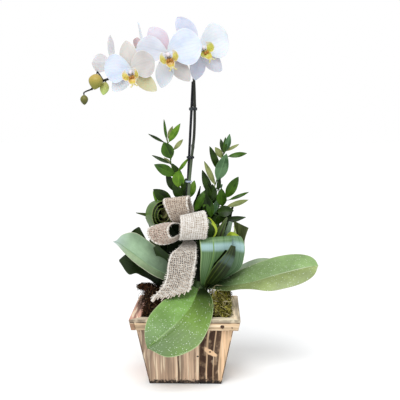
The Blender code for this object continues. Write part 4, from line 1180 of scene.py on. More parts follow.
# Each spray: its stem, and for each leaf its foot, its tip, its half width and its tone. The tones are
# d deep, m middle, b bright, p pale underside and c cool. Deep, middle and bright are one green with
# painted shade, half light and painted light.
SPRAYS = {
    "left": ([(-2, 24, 106), (-2, 24, 150), (-2, 24, 219), (-12, 26, 298), (-22, 28, 326), (-28, 29, 353),
              (-33, 30, 384)], (
        ((-34, 30, 385), (-38, 26, 418), 2.6, "m"),
        ((-30, 29, 381), (-11, 24, 411), 5.6, "b"),
        ((-32, 31, 386), (-24, 34, 407), 3.6, "p"),
        ((-38, 28, 380), (-64, 26, 394), 2.5, "d"),
        ((-26, 24, 354), (-38, 20, 381), 11, "m"),
        ((-22, 28, 368), (-7, 32, 385), 3.8, "p"),
        ((-28, 28, 345), (-59, 30, 359), 3.1, "d"),
        ((-26, 30, 344), (-39, 31, 355), 2.8, "p"),
        ((-20, 24, 326), (-54, 18, 344), 9.2, "m"),
        ((-9, 32, 313), (-25, 34, 345), 7.6, "d"),
        ((-15, 26, 332), (3, 22, 355), 3, "b"),
        ((-15, 22, 307), (-12, 16, 334), 11, "b"),
        ((-7, 20, 299), (-1, 15, 322), 5.6, "d"),
        ((-19, 30, 298), (-35, 32, 328), 6.9, "d"),
        ((-10, 26, 285), (-22, 24, 315), 8.2, "d"),
        ((5, 30, 289), (12, 34, 317), 6.3, "b"),
        ((-25, 16, 281), (-55, 10, 304), 10.2, "d"),
        ((-48, 20, 277), (-56, 18, 300), 2.6, "b"),
        ((-1, 34, 284), (-6, 36, 307), 4.9, "d"),
    )),
    "right": ([(26, 26, 106), (26, 26, 150), (26, 25, 219), (31, 27, 268), (49, 30, 318), (61, 31, 366)], (
        ((65, 28, 367), (70, 24, 394), 4.9, "c"),
        ((62, 28, 363), (63, 26, 389), 3.5, "m"),
        ((61, 28, 362), (55, 30, 386), 4, "d"),
        ((64, 30, 366), (86, 34, 377), 2.8, "p"),
        ((68, 30, 357), (99, 34, 362), 4.5, "m"),
        ((59, 32, 354), (46, 36, 372), 5.4, "p"),
        ((53, 28, 333), (37, 24, 374), 5.9, "d"),
        ((50, 24, 318), (65, 16, 362), 10.6, "c"),
        ((46, 30, 310), (28, 34, 349), 4.8, "p"),
        ((40, 26, 292), (25, 22, 335), 6.9, "d"),
        ((44, 30, 285), (42, 30, 311), 6.6, "d"),
        ((40, 24, 257), (36, 20, 290), 6.6, "m"),
        ((33, 22, 267), (30, 18, 298), 7.3, "d"),
        ((16, 20, 271), (29, 24, 301), 6.3, "m"),
        ((13, 14, 268), (30, 10, 297), 5.5, "m"),
        ((36, 26, 278), (33, 20, 312), 6, "d"),
        ((51, 31, 300), (54, 28, 326), 3.6, "d"),
        ((17, 16, 273), (31, 14, 278), 2.8, "b"),
        ((20, 30, 264), (15, 30, 288), 8.2, "d"),
        ((33, 32, 247), (26, 32, 274), 8.2, "d"),
    )),
    "side": ([(42, 40, 106), (42, 40, 150), (45, 40, 217), (49, 40, 276), (58, 40, 308)], (
        ((65, 38, 288), (85, 34, 323), 8.9, "m"),
        ((48, 34, 303), (59, 36, 310), 3.3, "c"),
        ((58, 32, 274), (57, 26, 304), 8.9, "m"),
        ((70, 38, 284), (103, 42, 297), 3.1, "m"),
        ((66, 36, 273), (102, 40, 284), 4.6, "p"),
        ((50, 28, 265), (77, 22, 268), 9.5, "d"),
        ((50, 34, 244), (61, 30, 266), 6.5, "d"),
        ((53, 34, 248), (98, 38, 255), 5.3, "d"),
        ((44, 36, 261), (50, 38, 285), 4.6, "c"),
        ((52, 38, 270), (53, 38, 301), 3.3, "c"),
        ((46, 36, 237), (49, 36, 260), 7.6, "d"),
        ((61, 42, 236), (71, 42, 255), 7.6, "d"),
        ((39, 40, 275), (48, 40, 300), 5.6, "d"),
    )),
}
# A leaf of the sprays: its thickness, and how far its middle stands forward.
RUSCUS = 0.7 * MM
RUSCUS_BULGE = 1.5 * MM


def spray_leaf(spray, stem, leaf, look, under):
    """A pointed leaf on its short stalk, folded a little on its midrib."""
    foot, tip, half = mm(leaf[0]), mm(leaf[1]), leaf[2]
    low = stem[stem[:, 2] < foot[2] - 2 * MM]
    joint = low[np.argmin(np.linalg.norm(low - foot, axis=1))]
    spray.tube(smooth_path([joint, (joint + foot) / 2 + FRONT * MM, foot], even(5)), 0.7 * MM, 6, look)
    along = unit(tip - foot)
    shares = rounded(16)
    path = smooth_path([foot, (foot + tip) / 2 + FRONT * RUSCUS_BULGE, tip], shares)[:, None]
    side = unit(np.cross(along, FRONT + np.array([0.3 * math.sin(half * 9), 0, 0.25])))
    widths = oval(shares, half, 0.8, 0.9, 0.8, 0.12)[:, None, None] * MM
    t = np.linspace(-1, 1, 9)[None, :, None]
    fold = 0.16 * widths * np.abs(t) ** 1.3
    sway = 0.5 * MM * np.sin(3 * np.pi * shares + half)[:, None, None] * t
    spray.sheet(path + side * widths * t + np.cross(side, along) * (fold + sway), RUSCUS, look, under)


def build_sprays():
    tones = {
        "d": small_leaf_look("ruscus_deep", (20, 36, 6), (44, 68, 16)),
        "m": small_leaf_look("ruscus_middle", (34, 62, 10), (66, 102, 24)),
        "b": small_leaf_look("ruscus_bright", (64, 108, 14), (108, 148, 40)),
        "p": small_leaf_look("ruscus_pale", (104, 118, 62), (150, 158, 100), 0.45),
        "c": small_leaf_look("ruscus_cool", (50, 84, 48), (98, 134, 92), 0.3),
        "u": small_leaf_look("ruscus_under", (66, 84, 44), (86, 104, 58), 0.5),
    }
    order = list(tones)
    for name, (line, leaves) in SPRAYS.items():
        spray = Shape(f"spray_{name}")
        stem = smooth_path(mm(line), even(80))
        spray.tube(stem, np.linspace(1.4, 0.8, 81) * MM, 10, order.index("m"))
        for leaf in leaves:
            spray_leaf(spray, stem, leaf, order.index(leaf[3]), order.index("u"))
        spray.make(list(tones.values()), [f"ruscus_{name}"])


# Each ribbed leaf that is drawn by its edges: left edge, right edge.
BANDS = {
    "leaf_loop_front": (
        [(31, 4, 138), (28, -10, 147), (25, -20, 152), (23, -26, 163), (23, -34, 182), (24, -40, 206),
         (23, -43, 219), (22, -40, 227), (19, -32, 228), (17, -24, 221), (16, -14, 198), (17, 0, 164)],
        [(35, 5, 138), (32, -8, 147), (30, -18, 151), (42, -24, 161), (64, -30, 188), (73, -36, 211),
         (73, -38, 223), (73, -35, 231), (72, -27, 232), (70, -20, 225), (64, -12, 198), (42, 0, 162)]),
    "leaf_loop_right": (
        [(41, 12, 138), (38, 2, 146), (42, -6, 155), (56, -14, 174), (62, -22, 199), (64, -28, 221),
         (64, -28, 231), (64, -20, 231), (63, -12, 224), (58, 0, 192), (41, 8, 157)],
        [(43, 13, 138), (42, 3, 146), (58, -6, 157), (87, -18, 178), (93, -26, 199), (94, -30, 215),
         (91, -28, 226), (87, -20, 231), (84, -10, 224), (74, 2, 192), (48, 10, 157)]),
    "leaf_loop_back": (
        [(15, 12, 138), (20, 6, 158), (27, 0, 176), (27, -2, 206), (28, -6, 229), (29, -10, 246),
         (30, -8, 256), (33, -2, 259), (33, 6, 251), (32, 7, 228)],
        [(17, 12, 138), (25, 6, 158), (35, 0, 176), (40, -4, 206), (46, -10, 228), (49, -14, 240),
         (46, -12, 249), (38, -4, 255), (40, 5, 250), (42, 7, 228)]),
    "leaf_end_right": (
        [(54, 50, 138), (58, 46, 164), (68, 38, 199), (76, 30, 226), (78, 26, 238), (77, 24, 251)],
        [(57, 50, 138), (75, 44, 161), (94, 34, 197), (96, 28, 218), (99, 25, 230), (102, 23, 239)]),
    "leaf_end_left": (
        [(-45, 20, 138), (-43, 18, 160), (-45, 16, 182), (-61, 12, 210), (-74, 8, 235), (-78, 7, 242),
         (-85, 6, 239), (-91, 5, 234)],
        [(-47, 20, 138), (-47, 18, 158), (-48, 16, 176), (-64, 12, 196), (-77, 8, 214), (-84, 7, 220),
         (-88, 6, 226), (-91, 5, 229)]),
    "leaf_strip_low": (
        [(-44, 6, 138), (-40, 6, 148), (-50, 0, 175), (-69, -10, 194), (-81, -20, 201), (-95, -27, 203),
         (-107, -32, 194)],
        [(-46, 6, 137), (-48, 2, 144), (-60, -4, 156), (-72, -12, 164), (-81, -20, 170), (-92, -28, 170),
         (-106, -32, 191)]),
}
# Each ribbed leaf that is drawn by its middle line, half widths and turn from facing front.
STRIPS = {
    "leaf_fold": ([(38, 9, 138), (35, -6, 145), (36, -24, 154), (44, -35, 166), (54, -44, 181),
                   (63, -50, 195), (70, -53, 207), (75, -53, 221)], (1.4, 3, 6, 10, 12.5, 12, 9, 4), 16),
    "leaf_tip": ([(49, 16, 138), (47, 6, 165), (45, -2, 192), (48, -7, 214), (54, -9, 234), (61, -8, 250),
                  (66, -6, 260)], (1.4, 4, 7, 8, 8, 6, 1), -10),
    "leaf_strip_back": ([(-28, 28, 138), (-25, 25, 160), (-20, 22, 182), (-32, 18, 198), (-48, 13, 211),
                         (-61, 11, 221)], (1.4, 6, 10, 13, 11, 2), 0),
}
# Loose blades round the bow: middle line, half widths, turn from facing front and tone.
BLADES = (
    ([(-36, 26, 140), (-42, 27, 190), (-46, 26, 240), (-46, 22, 274), (-42, 17, 292)], (3, 12, 19, 13, 0.6),
     14, "dark"),
    ([(-24, 22, 140), (-34, 20, 190), (-46, 18, 224), (-60, 16, 246), (-68, 12, 257)], (3, 9, 12, 8, 0.6), 0,
     "olive"),
    ([(-30, 24, 200), (-48, 20, 240), (-61, 18, 258), (-84, 12, 265)], (4, 8, 5, 0.5), 0, "olive"),
    ([(-14, 12, 140), (-16, 10, 180), (-20, 7, 214), (-30, 4, 240), (-34, 6, 256)], (6, 14, 17, 9, 0.6), 14,
     "dark"),
    ([(-6, 24, 140), (-6, 22, 190), (-7, 18, 240), (-8, 14, 268), (-12, 8, 284)], (6, 14, 17, 13, 0.6), -6,
     "dark"),
    ([(-24, 18, 150), (-29, 16, 196), (-28, 14, 240), (-22, 12, 262), (-16, 8, 280)], (8, 16, 17, 10, 0.6),
     22, "dark"),
    ([(8, 30, 140), (10, 28, 190), (16, 22, 232), (22, 16, 262), (26, 10, 278)], (6, 12, 15, 9, 0.6), -22,
     "dark"),
    ([(-8, 2, 140), (-22, -6, 168), (-36, -12, 192), (-50, -18, 214)], (5, 11, 12, 4), 8, "shade"),
    ([(-36, 8, 138), (-44, 4, 160), (-58, 0, 178), (-72, -4, 196)], (8, 14, 14, 3), 0, "dark"),
    ([(22, -6, 142), (28, -10, 160), (38, -14, 180), (50, -14, 204)], (3, 9, 14, 6), 0, "dark"),
    ([(36, 20, 138), (44, 19, 180), (54, 15, 214), (60, 10, 240), (62, 6, 252)], (6, 14, 16, 10, 0.6), 12,
     "dark"),
    ([(24, -8, 140), (22, -12, 162), (21, -16, 190), (20, -18, 216)], (4, 6, 7, 2), 0, "dark"),
    ([(32, -14, 146), (44, -28, 168), (57, -41, 190), (67, -46, 212)], (2, 8, 12, 5), 10, "dark"),
    ([(34, 42, 140), (40, 44, 220), (46, 42, 262), (50, 40, 290)], (3, 10, 12, 0.6), -10, "dark"),
    ([(50, 46, 150), (60, 46, 220), (68, 44, 254), (78, 42, 276)], (3, 9, 10, 0.6), 14, "dark"),
    ([(14, 36, 150), (8, 34, 230), (16, 30, 280), (22, 28, 308)], (3, 9, 8, 0.6), -6, "dark"),
    ([(28, 6, 140), (31, 2, 190), (42, -2, 226), (50, 0, 248)], (3, 6, 9, 2), 0, "green"),
    ([(60, 6, 150), (64, 4, 216), (67, 2, 234), (72, 2, 252)], (3, 5, 6, 3), 0, "grey"),
    ([(72, 6, 150), (76, -2, 214), (80, -3, 228), (77, 0, 245)], (3, 3, 3, 0.6), 0, "pale"),
    ([(36, 14, 150), (38, 16, 220), (34, 2, 256), (44, -14, 250), (48, -17, 243), (48, -18, 236),
      (44, -18, 229)], (2, 3, 2.4, 2.6, 3.2, 2.6, 1), 0, "lime"),
    ([(60, 0, 190), (66, -4, 218), (72, -8, 233), (84, -9, 229)], (3, 5, 5, 2), 20, "lime"),
)
# Each tone of loose blade. The dark blades are near black: painted shade in the gaps of the foliage. The
# back of a dark one has the tone named reverse, its own green. A base paints shade on the foot of a blade,
# and the pale blade paints a highlight.
BLADE_TONES = {
    "dark": dict(dark=(7, 12, 5), light=(24, 38, 13), ribs=120, gloss=0.05),
    "reverse": dict(dark=(46, 70, 30), light=(78, 104, 48), ribs=120),
    "shade": dict(dark=(34, 52, 22), light=(58, 84, 36), base=((8, 12, 6), 0.3, 0.7)),
    "olive": dict(dark=(44, 58, 22), light=(76, 92, 38), base=((12, 16, 8), 0.2, 0.6)),
    "green": dict(dark=(34, 60, 20), light=(70, 104, 36), base=((10, 14, 6), 0.4, 0.7)),
    "grey": dict(dark=(108, 132, 108), light=(150, 170, 146), base=((20, 30, 14), 0.4, 0.7)),
    "pale": dict(dark=(160, 176, 110), light=(196, 206, 150), base=((30, 44, 20), 0.4, 0.7)),
    "lime": dict(dark=(158, 182, 44), light=(204, 226, 72), base=((30, 44, 20), 0.2, 0.5)),
}
# The colour of the painted sheen across the two front leaf loops.
SHEEN = (202, 238, 246)
RIBBED_LEAF = 1.0 * MM
# The stem of each loose leaf reaches between these heights.
FOOT = 106
FOOT_TOP = 141
# The rolled leaf: a spiral round an axis, with its first and last radius and how often it turns.
ROLL_CENTRE = mm((-44, 10, 263))
ROLL_AXIS = np.array([0.5, -0.86, 0.05])
ROLL_SIDE = np.array([0.86, 0.5, 0])
ROLL_UP = UP * 1.15
ROLL_END = math.radians(-130)
ROLL_HALF = 13.0
ROLL_RADII = (3, 21)
ROLL_TURNS = 3.1
ROLL_FOOT = (-33, 12)


def add_foot(leaf, foot):
    """The stem of a leaf below its blade, which stands in the soil."""
    line = smooth_path(mm([(*foot, FOOT), (*foot, FOOT_TOP)]), even(10))
    leaf.tube(line, np.linspace(1.3, 1.2, 11) * MM, 10)


def band_grid(left, right, rows=90, columns=20, arch=0.8 * MM):
    """A grid of points from one edge of a leaf to the other, bowed a little between them."""
    shares = even(rows)
    a, c = (smooth_path(mm(line), shares)[:, None] for line in (left, right))
    b = (a + c) / 2
    along = np.gradient(b[:, 0], axis=0)[:, None]
    normal = unit(np.cross(c - a, along))
    t = np.linspace(-1, 1, columns + 1)[None, :, None]
    return b + np.where(t > 0, (c - b) * t, (a - b) * -t) + normal * arch * (1 - t * t)


def strip_grid(points, widths, turn, rows=50, cup=0.2):
    """A grid of points round the middle line of a leaf, with its edges bent forward."""
    shares = even(rows)
    path = smooth_path(mm(points), shares)
    along = unit(np.gradient(path, axis=0))
    side = unit(np.cross(along, turned(FRONT, UP, math.radians(turn))))[:, None]
    half = np.maximum(spread(widths, shares), 0.15)[:, None, None] * MM
    t = np.linspace(-1, 1, 13)[None, :, None]
    lift = np.cross(side[:, 0], along)[:, None]
    return path[:, None] + side * half * t + lift * half * cup * np.abs(t) ** 1.4


def band_looks():
    return {
        "leaf_loop_front": band_leaf_look(
            "loop_front", (92, 126, 76), (118, 152, 104), (0.0, 0.015, (170, 196, 130)), 0.3,
            streaks=((0.42, 0.008, (128, 164, 92)),), glow=(SHEEN, 0.465, 0.56),
            base=((70, 106, 48), 0.1, 0.3), top=((34, 54, 20), 0.63, 0.68)),
        "leaf_loop_right": band_leaf_look(
            "loop_right", (90, 126, 86), (122, 156, 116), (1.0, 0.02, (150, 180, 130)), 0.3,
            glow=(SHEEN, 0.44, 0.54), base=((40, 64, 24), 0.1, 0.4), top=((34, 54, 20), 0.66, 0.72)),
        "leaf_loop_back": band_leaf_look("loop_back", (40, 64, 26), (66, 92, 40), None, 0.3,
                                         base=((24, 36, 14), 0.1, 0.5)),
        "leaf_fold": band_leaf_look(
            "fold_streaked", (18, 30, 8), (40, 58, 20), (0.03, 0.02, (96, 118, 56)), 0.32,
            streaks=((0.3, 0.01, (92, 108, 44)), (0.62, 0.01, (70, 90, 40))),
            glow=((96, 122, 112), 0.7, 0.9), base=((30, 44, 14), 0.15, 0.4), top=((44, 56, 30), 0.9, 1.0)),
        "leaf_tip": band_leaf_look("tip_blade", (50, 68, 26), (84, 108, 44), (0.04, 0.03, (110, 110, 60)),
                                   streaks=((0.66, 0.05, (42, 40, 22)),), base=((20, 30, 12), 0.3, 0.6)),
        "leaf_strip_back": band_leaf_look("strip_back", (30, 46, 16), (58, 82, 32),
                                          base=((8, 12, 6), 0.3, 0.6)),
        "leaf_end_right": band_leaf_look("end_right", (52, 62, 26), (88, 98, 52), (1.0, 0.03, (120, 126, 84)),
                                         base=((14, 20, 8), 0.2, 0.6)),
        "leaf_end_left": band_leaf_look("end_left", (36, 56, 24), (66, 90, 46), (0.02, 0.03, (96, 120, 70)),
                                        base=((12, 18, 8), 0.25, 0.55)),
        "leaf_strip_low": band_leaf_look("strip_low", (30, 42, 14), (56, 76, 30), (0.98, 0.02, (90, 108, 60)),
                                         base=((8, 12, 6), 0.25, 0.5)),
    }


def build_ribbed_leaves():
    """The looped, folded and strip leaves, each with its stem."""
    looks = band_looks()
    # The backs of the ribbed leaves are dark: painted shade on their shaded sides and inside the loops.
    inside = band_leaf_look("loop_inside", (24, 38, 12), (44, 64, 22))
    grids = {name: band_grid(*edges) for name, edges in BANDS.items()}
    grids.update({name: strip_grid(*facts) for name, facts in STRIPS.items()})
    for name, grid in grids.items():
        leaf = Shape(f"{name}_ribbed")
        leaf.sheet(grid, RIBBED_LEAF, 0, 1)
        add_foot(leaf, tuple(grid[0].mean(0)[:2] / MM))
        leaf.make([looks[name], inside], [name])


def build_loose_blades():
    """Narrow leaves that stand between the larger ones and close the view through them: dark ones paint
    shade.
    """
    looks = {tone: band_leaf_look(f"blade_{tone}", **facts) for tone, facts in BLADE_TONES.items()}
    order = list(looks)
    blades = Shape("leaf_blades")
    for points, widths, turn, tone in BLADES:
        back = order.index("reverse" if tone == "dark" else tone)
        blades.sheet(strip_grid(points, widths, turn, 30), RIBBED_LEAF, order.index(tone), back)
    blades.make(list(looks.values()))


def build_rolled_leaf():
    """A leaf rolled up on itself, with its foot led down into the pot."""
    path = []
    for share in even(90):
        angle = ROLL_END - 2 * math.pi * ROLL_TURNS * (1 - share)
        radius = ROLL_RADII[0] + (ROLL_RADII[1] - ROLL_RADII[0]) * share**0.8
        path.append(ROLL_CENTRE + (ROLL_SIDE * math.cos(angle) + ROLL_UP * math.sin(angle)) * radius * MM)
    tail = [path[-1], *mm([(-48, 14, 222), (-38, 13, 190), (*ROLL_FOOT, 160), (*ROLL_FOOT, 138)])]
    path = np.concatenate([path, smooth_path(tail, even(30))[1:]])[:, None]
    halves = np.concatenate([np.full(90, ROLL_HALF), spread([13, 10, 7, 4, 2.5, 2, 1.5], even(30))])
    halves = halves[:, None, None] * MM
    t = np.linspace(-1, 1, 15)[None, :, None]
    roll = Shape("rolled_leaf_ribbed")
    roll.sheet(path + unit(ROLL_AXIS) * halves * t, RIBBED_LEAF, 1, 0)
    add_foot(roll, ROLL_FOOT)
    outside = band_leaf_look("roll_outside", (56, 88, 26), (104, 138, 58), (1.0, 0.03, (130, 140, 80)))
    # The inside is pale to paint light into the shaded hollow of the roll.
    inside = band_leaf_look("roll_inside", (112, 104, 60), (172, 172, 110), (1.0, 0.04, (110, 116, 66)))
    roll.make([outside, inside], ["rolled_leaf"])


# Burlap bow

# Each loop of ribbon: its two edges from the knot round and back.
BOW_LOOPS = {
    "top": (
        [(-7, -10, 251), (-22, -22, 255), (-30, -30, 270), (-34, -33, 281), (-36, -32, 290), (-33, -26, 292),
         (-29, -14, 284), (-17, -4, 265), (-7, -1, 252)],
        [(-2, -11, 250), (4, -22, 262), (5, -30, 273), (3, -33, 286), (4, -32, 295), (6, -26, 296),
         (8, -16, 286), (12, -8, 270), (2, -4, 252)]),
    "left": (
        [(-7, -10, 251), (-32, -24, 253), (-47, -30, 250), (-59, -34, 246), (-61, -37, 237), (-53, -38, 225),
         (-39, -40, 220), (-23, -36, 222), (-7, -14, 227)],
        [(-3, -24, 250), (-17, -42, 255), (-23, -48, 253), (-26, -52, 248), (-26, -53, 242), (-22, -53, 234),
         (-17, -50, 234), (-12, -42, 236), (-3, -26, 239)]),
    "front": (
        [(-5, -12, 253), (-6, -28, 264), (-8, -44, 266), (-7, -54, 260), (-7, -57, 249), (-8, -55, 238),
         (-10, -46, 229), (-6, -26, 229), (-4, -12, 233)],
        [(6, -12, 255), (24, -28, 271), (30, -42, 274), (34, -52, 266), (36, -55, 254), (34, -54, 243),
         (32, -46, 231), (19, -28, 233), (6, -12, 235)]),
}
# The tail's left edge, middle and right edge.
BOW_TAIL = (
    [(-4, -14, 227), (-6, -28, 220), (-14, -38, 213), (-22, -43, 207), (-26, -46, 197), (-28, -50, 185),
     (-30, -54, 170), (-36, -58, 156), (-51, -62, 139)],
    [(1, -15, 227), (4, -32, 220), (1, -43, 212), (-4, -47, 203), (-5, -50, 191), (-6, -54, 179),
     (-9, -57, 166), (-13, -61, 154), (-22, -65, 143)],
    [(6, -14, 227), (16, -28, 220), (17, -38, 210), (17, -43, 200), (15, -46, 187), (13, -50, 177),
     (11, -54, 167), (9, -58, 159), (7, -62, 152)],
)
# The band round the middle of the bow: an oval ring of ribbon.
KNOT_CENTRE = mm((-3, -3, 242))
KNOT_RADII = (8.8, 11.5)
KNOT_SETBACK = 4.5
KNOT_HALF = 12 * MM
# Each yarn's light and dark colour, and for each ground the colour of its fuzz too. The grounds are dark
# sheets inside the weave: painted shade seen between the yarns, darkest on the tail, lighter on the loops
# and the knot and lightest on the front loop.
YARNS = {
    "yarn_pale": ((228, 214, 198), (186, 168, 150)),
    "yarn_grey": ((252, 248, 242), (222, 212, 200)),
    "yarn_rosy": ((220, 192, 176), (178, 150, 134)),
    "yarn_tan": ((232, 212, 190), (190, 166, 144)),
    "yarn_dusty": ((232, 226, 216), (194, 184, 172)),
    "yarn_white": ((250, 244, 236), (230, 218, 204)),
    "burlap_ground": ((62, 50, 40), (34, 28, 22), (84, 70, 56)),
    "burlap_ground_light": ((150, 128, 108), (112, 92, 76), (170, 150, 130)),
    "burlap_ground_front": ((196, 180, 162), (160, 142, 124), (210, 196, 180)),
}
# Each stretch of ribbon: a seed, its yarns along, across and at the edges, and its ground.
STRETCHES = {
    "loop_top": (100, "yarn_tan", "yarn_pale", "yarn_white", "burlap_ground_light"),
    "loop_left": (101, "yarn_rosy", "yarn_pale", "yarn_white", "burlap_ground_light"),
    "loop_front": (102, "yarn_grey", "yarn_grey", "yarn_white", "burlap_ground_front"),
    "tail": (120, "yarn_pale", "yarn_dusty", "yarn_white", "burlap_ground"),
    "knot": (130, "yarn_pale", "yarn_tan", "yarn_white", "burlap_ground_light"),
}
ALONG, ACROSS, EDGE = range(3)
# The yarns: how far apart they are, their radius as a share of that, how flat they lie, how far they
# bend over each other, and how much thicker the outermost ones are.
YARN_PITCH = 2.75 * MM
YARN_SHARE = 0.3
YARN_FLAT = 0.55
YARN_CRIMP = 0.4 * MM
SELVAGE = 1.5
CLOTH = 0.5 * MM
# How many loose fibres a stretch has and how long they are, and the same where it has a loose end.
FIBRES = (110, 4 * MM)
END_FIBRES = (190, 5 * MM)
# The share of loose fibres that start at an edge.
EDGE_FIBRES = 0.5


class Ribbon:
    """A strip of cloth as a surface: share across from -1 to 1 and share along from 0 to 1."""

    def __init__(self, left, right, middle=None):
        self.left, self.right = np.asarray(left), np.asarray(right)
        self.middle = (self.left + self.right) / 2 if middle is None else np.asarray(middle)

    def points(self, u, v):
        a, b, c = (smooth_path(line, v) for line in (self.left, self.middle, self.right))
        u = u[:, None]
        return b + np.where(u > 0, (c - b) * u, (a - b) * -u)

    def normals(self, u, v):
        step = 1e-3
        along = self.points(u, v + step) - self.points(u, v - step)
        across = self.points(u + step, v) - self.points(u - step, v)
        return unit(np.cross(across, along))

    def size(self):
        line = smooth_path(self.middle, even(200))
        long = np.linalg.norm(np.diff(line, axis=0), axis=1).sum()
        wide = np.linalg.norm(smooth_path(self.right, even(60)) - smooth_path(self.left, even(60)), axis=1)
        return float(wide.max()), float(long), float(wide.mean() * long)


def add_shade_sheet(shape, ribbon):
    """A thin dark sheet inside the weave, seen between the yarns: painted shade in the holes of the cloth."""
    _, long, _ = ribbon.size()
    shares = np.linspace(0.005, 0.985, round(long / (2.5 * MM)))
    t = np.linspace(-0.97, 0.97, 15)
    grid = np.stack([ribbon.points(t, np.full_like(t, v)) for v in shares])
    shape.sheet(grid, CLOTH, rim=0.8)


def weave(shape, ribbon, seed, loose_end):
    """Yarns that run along the ribbon and across it, over and under each other, with frayed ends."""
    draw = random.Random(seed)
    _, long, area = ribbon.size()
    wide = area / long
    counts = round(wide / YARN_PITCH), round(long / YARN_PITCH)
    for i in range(counts[0]):
        add_warp(shape, ribbon, draw, i, counts, wide, loose_end)
    for j in range(counts[1]):
        add_weft(shape, ribbon, draw, j, counts, loose_end)


def add_warp(shape, ribbon, draw, i, counts, wide, loose_end):
    """One yarn along the ribbon; the outermost ones are thicker."""
    warps, wefts = counts
    end = 1 + (draw.uniform(0.01, 0.09) if loose_end else 0)
    v = np.linspace(0, end, wefts * 3 + 1)
    wander = draw.uniform(-0.15, 0.15) + 0.2 * np.sin(v * draw.uniform(6, 15) + draw.uniform(0, 6))
    u = np.full_like(v, -1 + 2 * (i + 0.5) / warps) + wander / warps * 0.8
    normal = ribbon.normals(u, np.clip(v, 0.002, 0.998))
    crest = np.cos(np.pi * (v * wefts - 0.5 + i))
    here = ribbon.points(u, v) + normal * (crest * YARN_CRIMP)[:, None]
    squeeze = np.linalg.norm(ribbon.points(u * 0 + 1, v) - ribbon.points(u * 0 - 1, v), axis=1) / wide
    uneven = 1 + 0.25 * np.sin(v * draw.uniform(20, 60) + draw.uniform(0, 6)) * draw.random()
    edge = i in (0, warps - 1)
    radii = YARN_SHARE * YARN_PITCH * np.clip(squeeze, 0.4, 1.25) * uneven * (SELVAGE if edge else 1)
    shape.tube(here, radii, 6, EDGE if edge else ALONG, normals=normal, flat=YARN_FLAT)


def add_weft(shape, ribbon, draw, j, counts, loose_end):
    """One yarn across the ribbon; near a loose end it sticks out further."""
    warps, wefts = counts
    low, high = (-1 - draw.uniform(0.0, 0.05) for _ in range(2))
    if loose_end and j > wefts * 0.6:
        low, high = (-1 - draw.uniform(0.02, 0.16) for _ in range(2))
    u = np.linspace(low, -high, warps * 3 + 1)
    wander = draw.uniform(-0.2, 0.2) + 0.2 * np.sin(u * draw.uniform(2, 5) + draw.uniform(0, 6))
    v = np.full_like(u, (j + 0.5) / wefts) + wander / wefts * 0.6
    normal = ribbon.normals(np.clip(u, -1, 1), v)
    crest = -np.cos(np.pi * ((u + 1) / 2 * warps - 0.5 + j))
    here = ribbon.points(u, v) + normal * (crest * YARN_CRIMP)[:, None]
    uneven = 1 + 0.25 * np.sin(u * draw.uniform(3, 9) + draw.uniform(0, 6)) * draw.random()
    shape.tube(here, YARN_SHARE * YARN_PITCH * uneven, 6, ACROSS, normals=normal, flat=YARN_FLAT)


def add_fuzz(shape, ribbon, seed, count, length):
    """Short loose fibres, many of them along the edges."""
    draw = random.Random(seed)
    for _ in range(count):
        at_edge = draw.random() < EDGE_FIBRES
        u = draw.choice((-1.0, 1.0)) if at_edge else draw.uniform(-1, 1)
        v = draw.uniform(0.05, 1.0)
        place = ribbon.points(np.array([u]), np.array([v]))[0]
        normal = ribbon.normals(np.array([u * 0.98]), np.array([min(v, 0.99)]))[0]
        out = ribbon.points(np.array([u + 0.1]), np.array([v]))[0] - place
        heading = unit(unit(out) * (u if at_edge else draw.uniform(-1, 1)) + normal * draw.uniform(-0.6, 0.9)
                       + np.array([draw.gauss(0, 0.4) for _ in range(3)]))
        bend = unit(np.cross(heading, normal)) * draw.uniform(-0.6, 0.6)
        reach = length * draw.uniform(0.3, 1.0)
        share = even(4)[:, None]
        path = place + heading * reach * share + bend * reach * share**2
        shape.tube(path, np.linspace(0.14, 0.06, 5) * MM, 3)


def build_cloth(name, ribbon, looks, loose_end=False):
    """One stretch of burlap: its dark ground sheet of painted shade, its yarns and its fibres."""
    seed, *used, ground = STRETCHES[name]
    used = [looks[yarn] for yarn in used]
    cloth = Shape(f"bow_{name}")
    add_shade_sheet(cloth, ribbon)
    made = cloth.make([looks[ground]], ["burlap_bow"])
    yarns = Shape(f"bow_yarns_{name}")
    weave(yarns, ribbon, seed, loose_end)
    yarns.make(used)
    fibres = Shape(f"bow_fibres_{name}")
    add_fuzz(fibres, ribbon, seed + 100, *(END_FIBRES if loose_end else FIBRES))
    fibres.make(used[EDGE:])
    wide, long, area = ribbon.size()


def build_bow():
    looks = {name: yarn_look(name, *colours) for name, colours in YARNS.items()}
    for name, edges in BOW_LOOPS.items():
        build_cloth(f"loop_{name}", Ribbon(*map(mm, edges)), looks)
    left, middle, right = map(mm, BOW_TAIL)
    build_cloth("tail", Ribbon(left, right, middle), looks, True)
    angles = np.linspace(0, 2 * np.pi, 17)
    ring = np.stack([np.cos(angles) * KNOT_RADII[0], np.sin(angles) * KNOT_RADII[1] + KNOT_SETBACK,
                     angles * 0], -1) * MM
    band = Ribbon(KNOT_CENTRE + ring - UP * KNOT_HALF, KNOT_CENTRE + ring + UP * KNOT_HALF)
    build_cloth("knot", band, looks)


# Moss

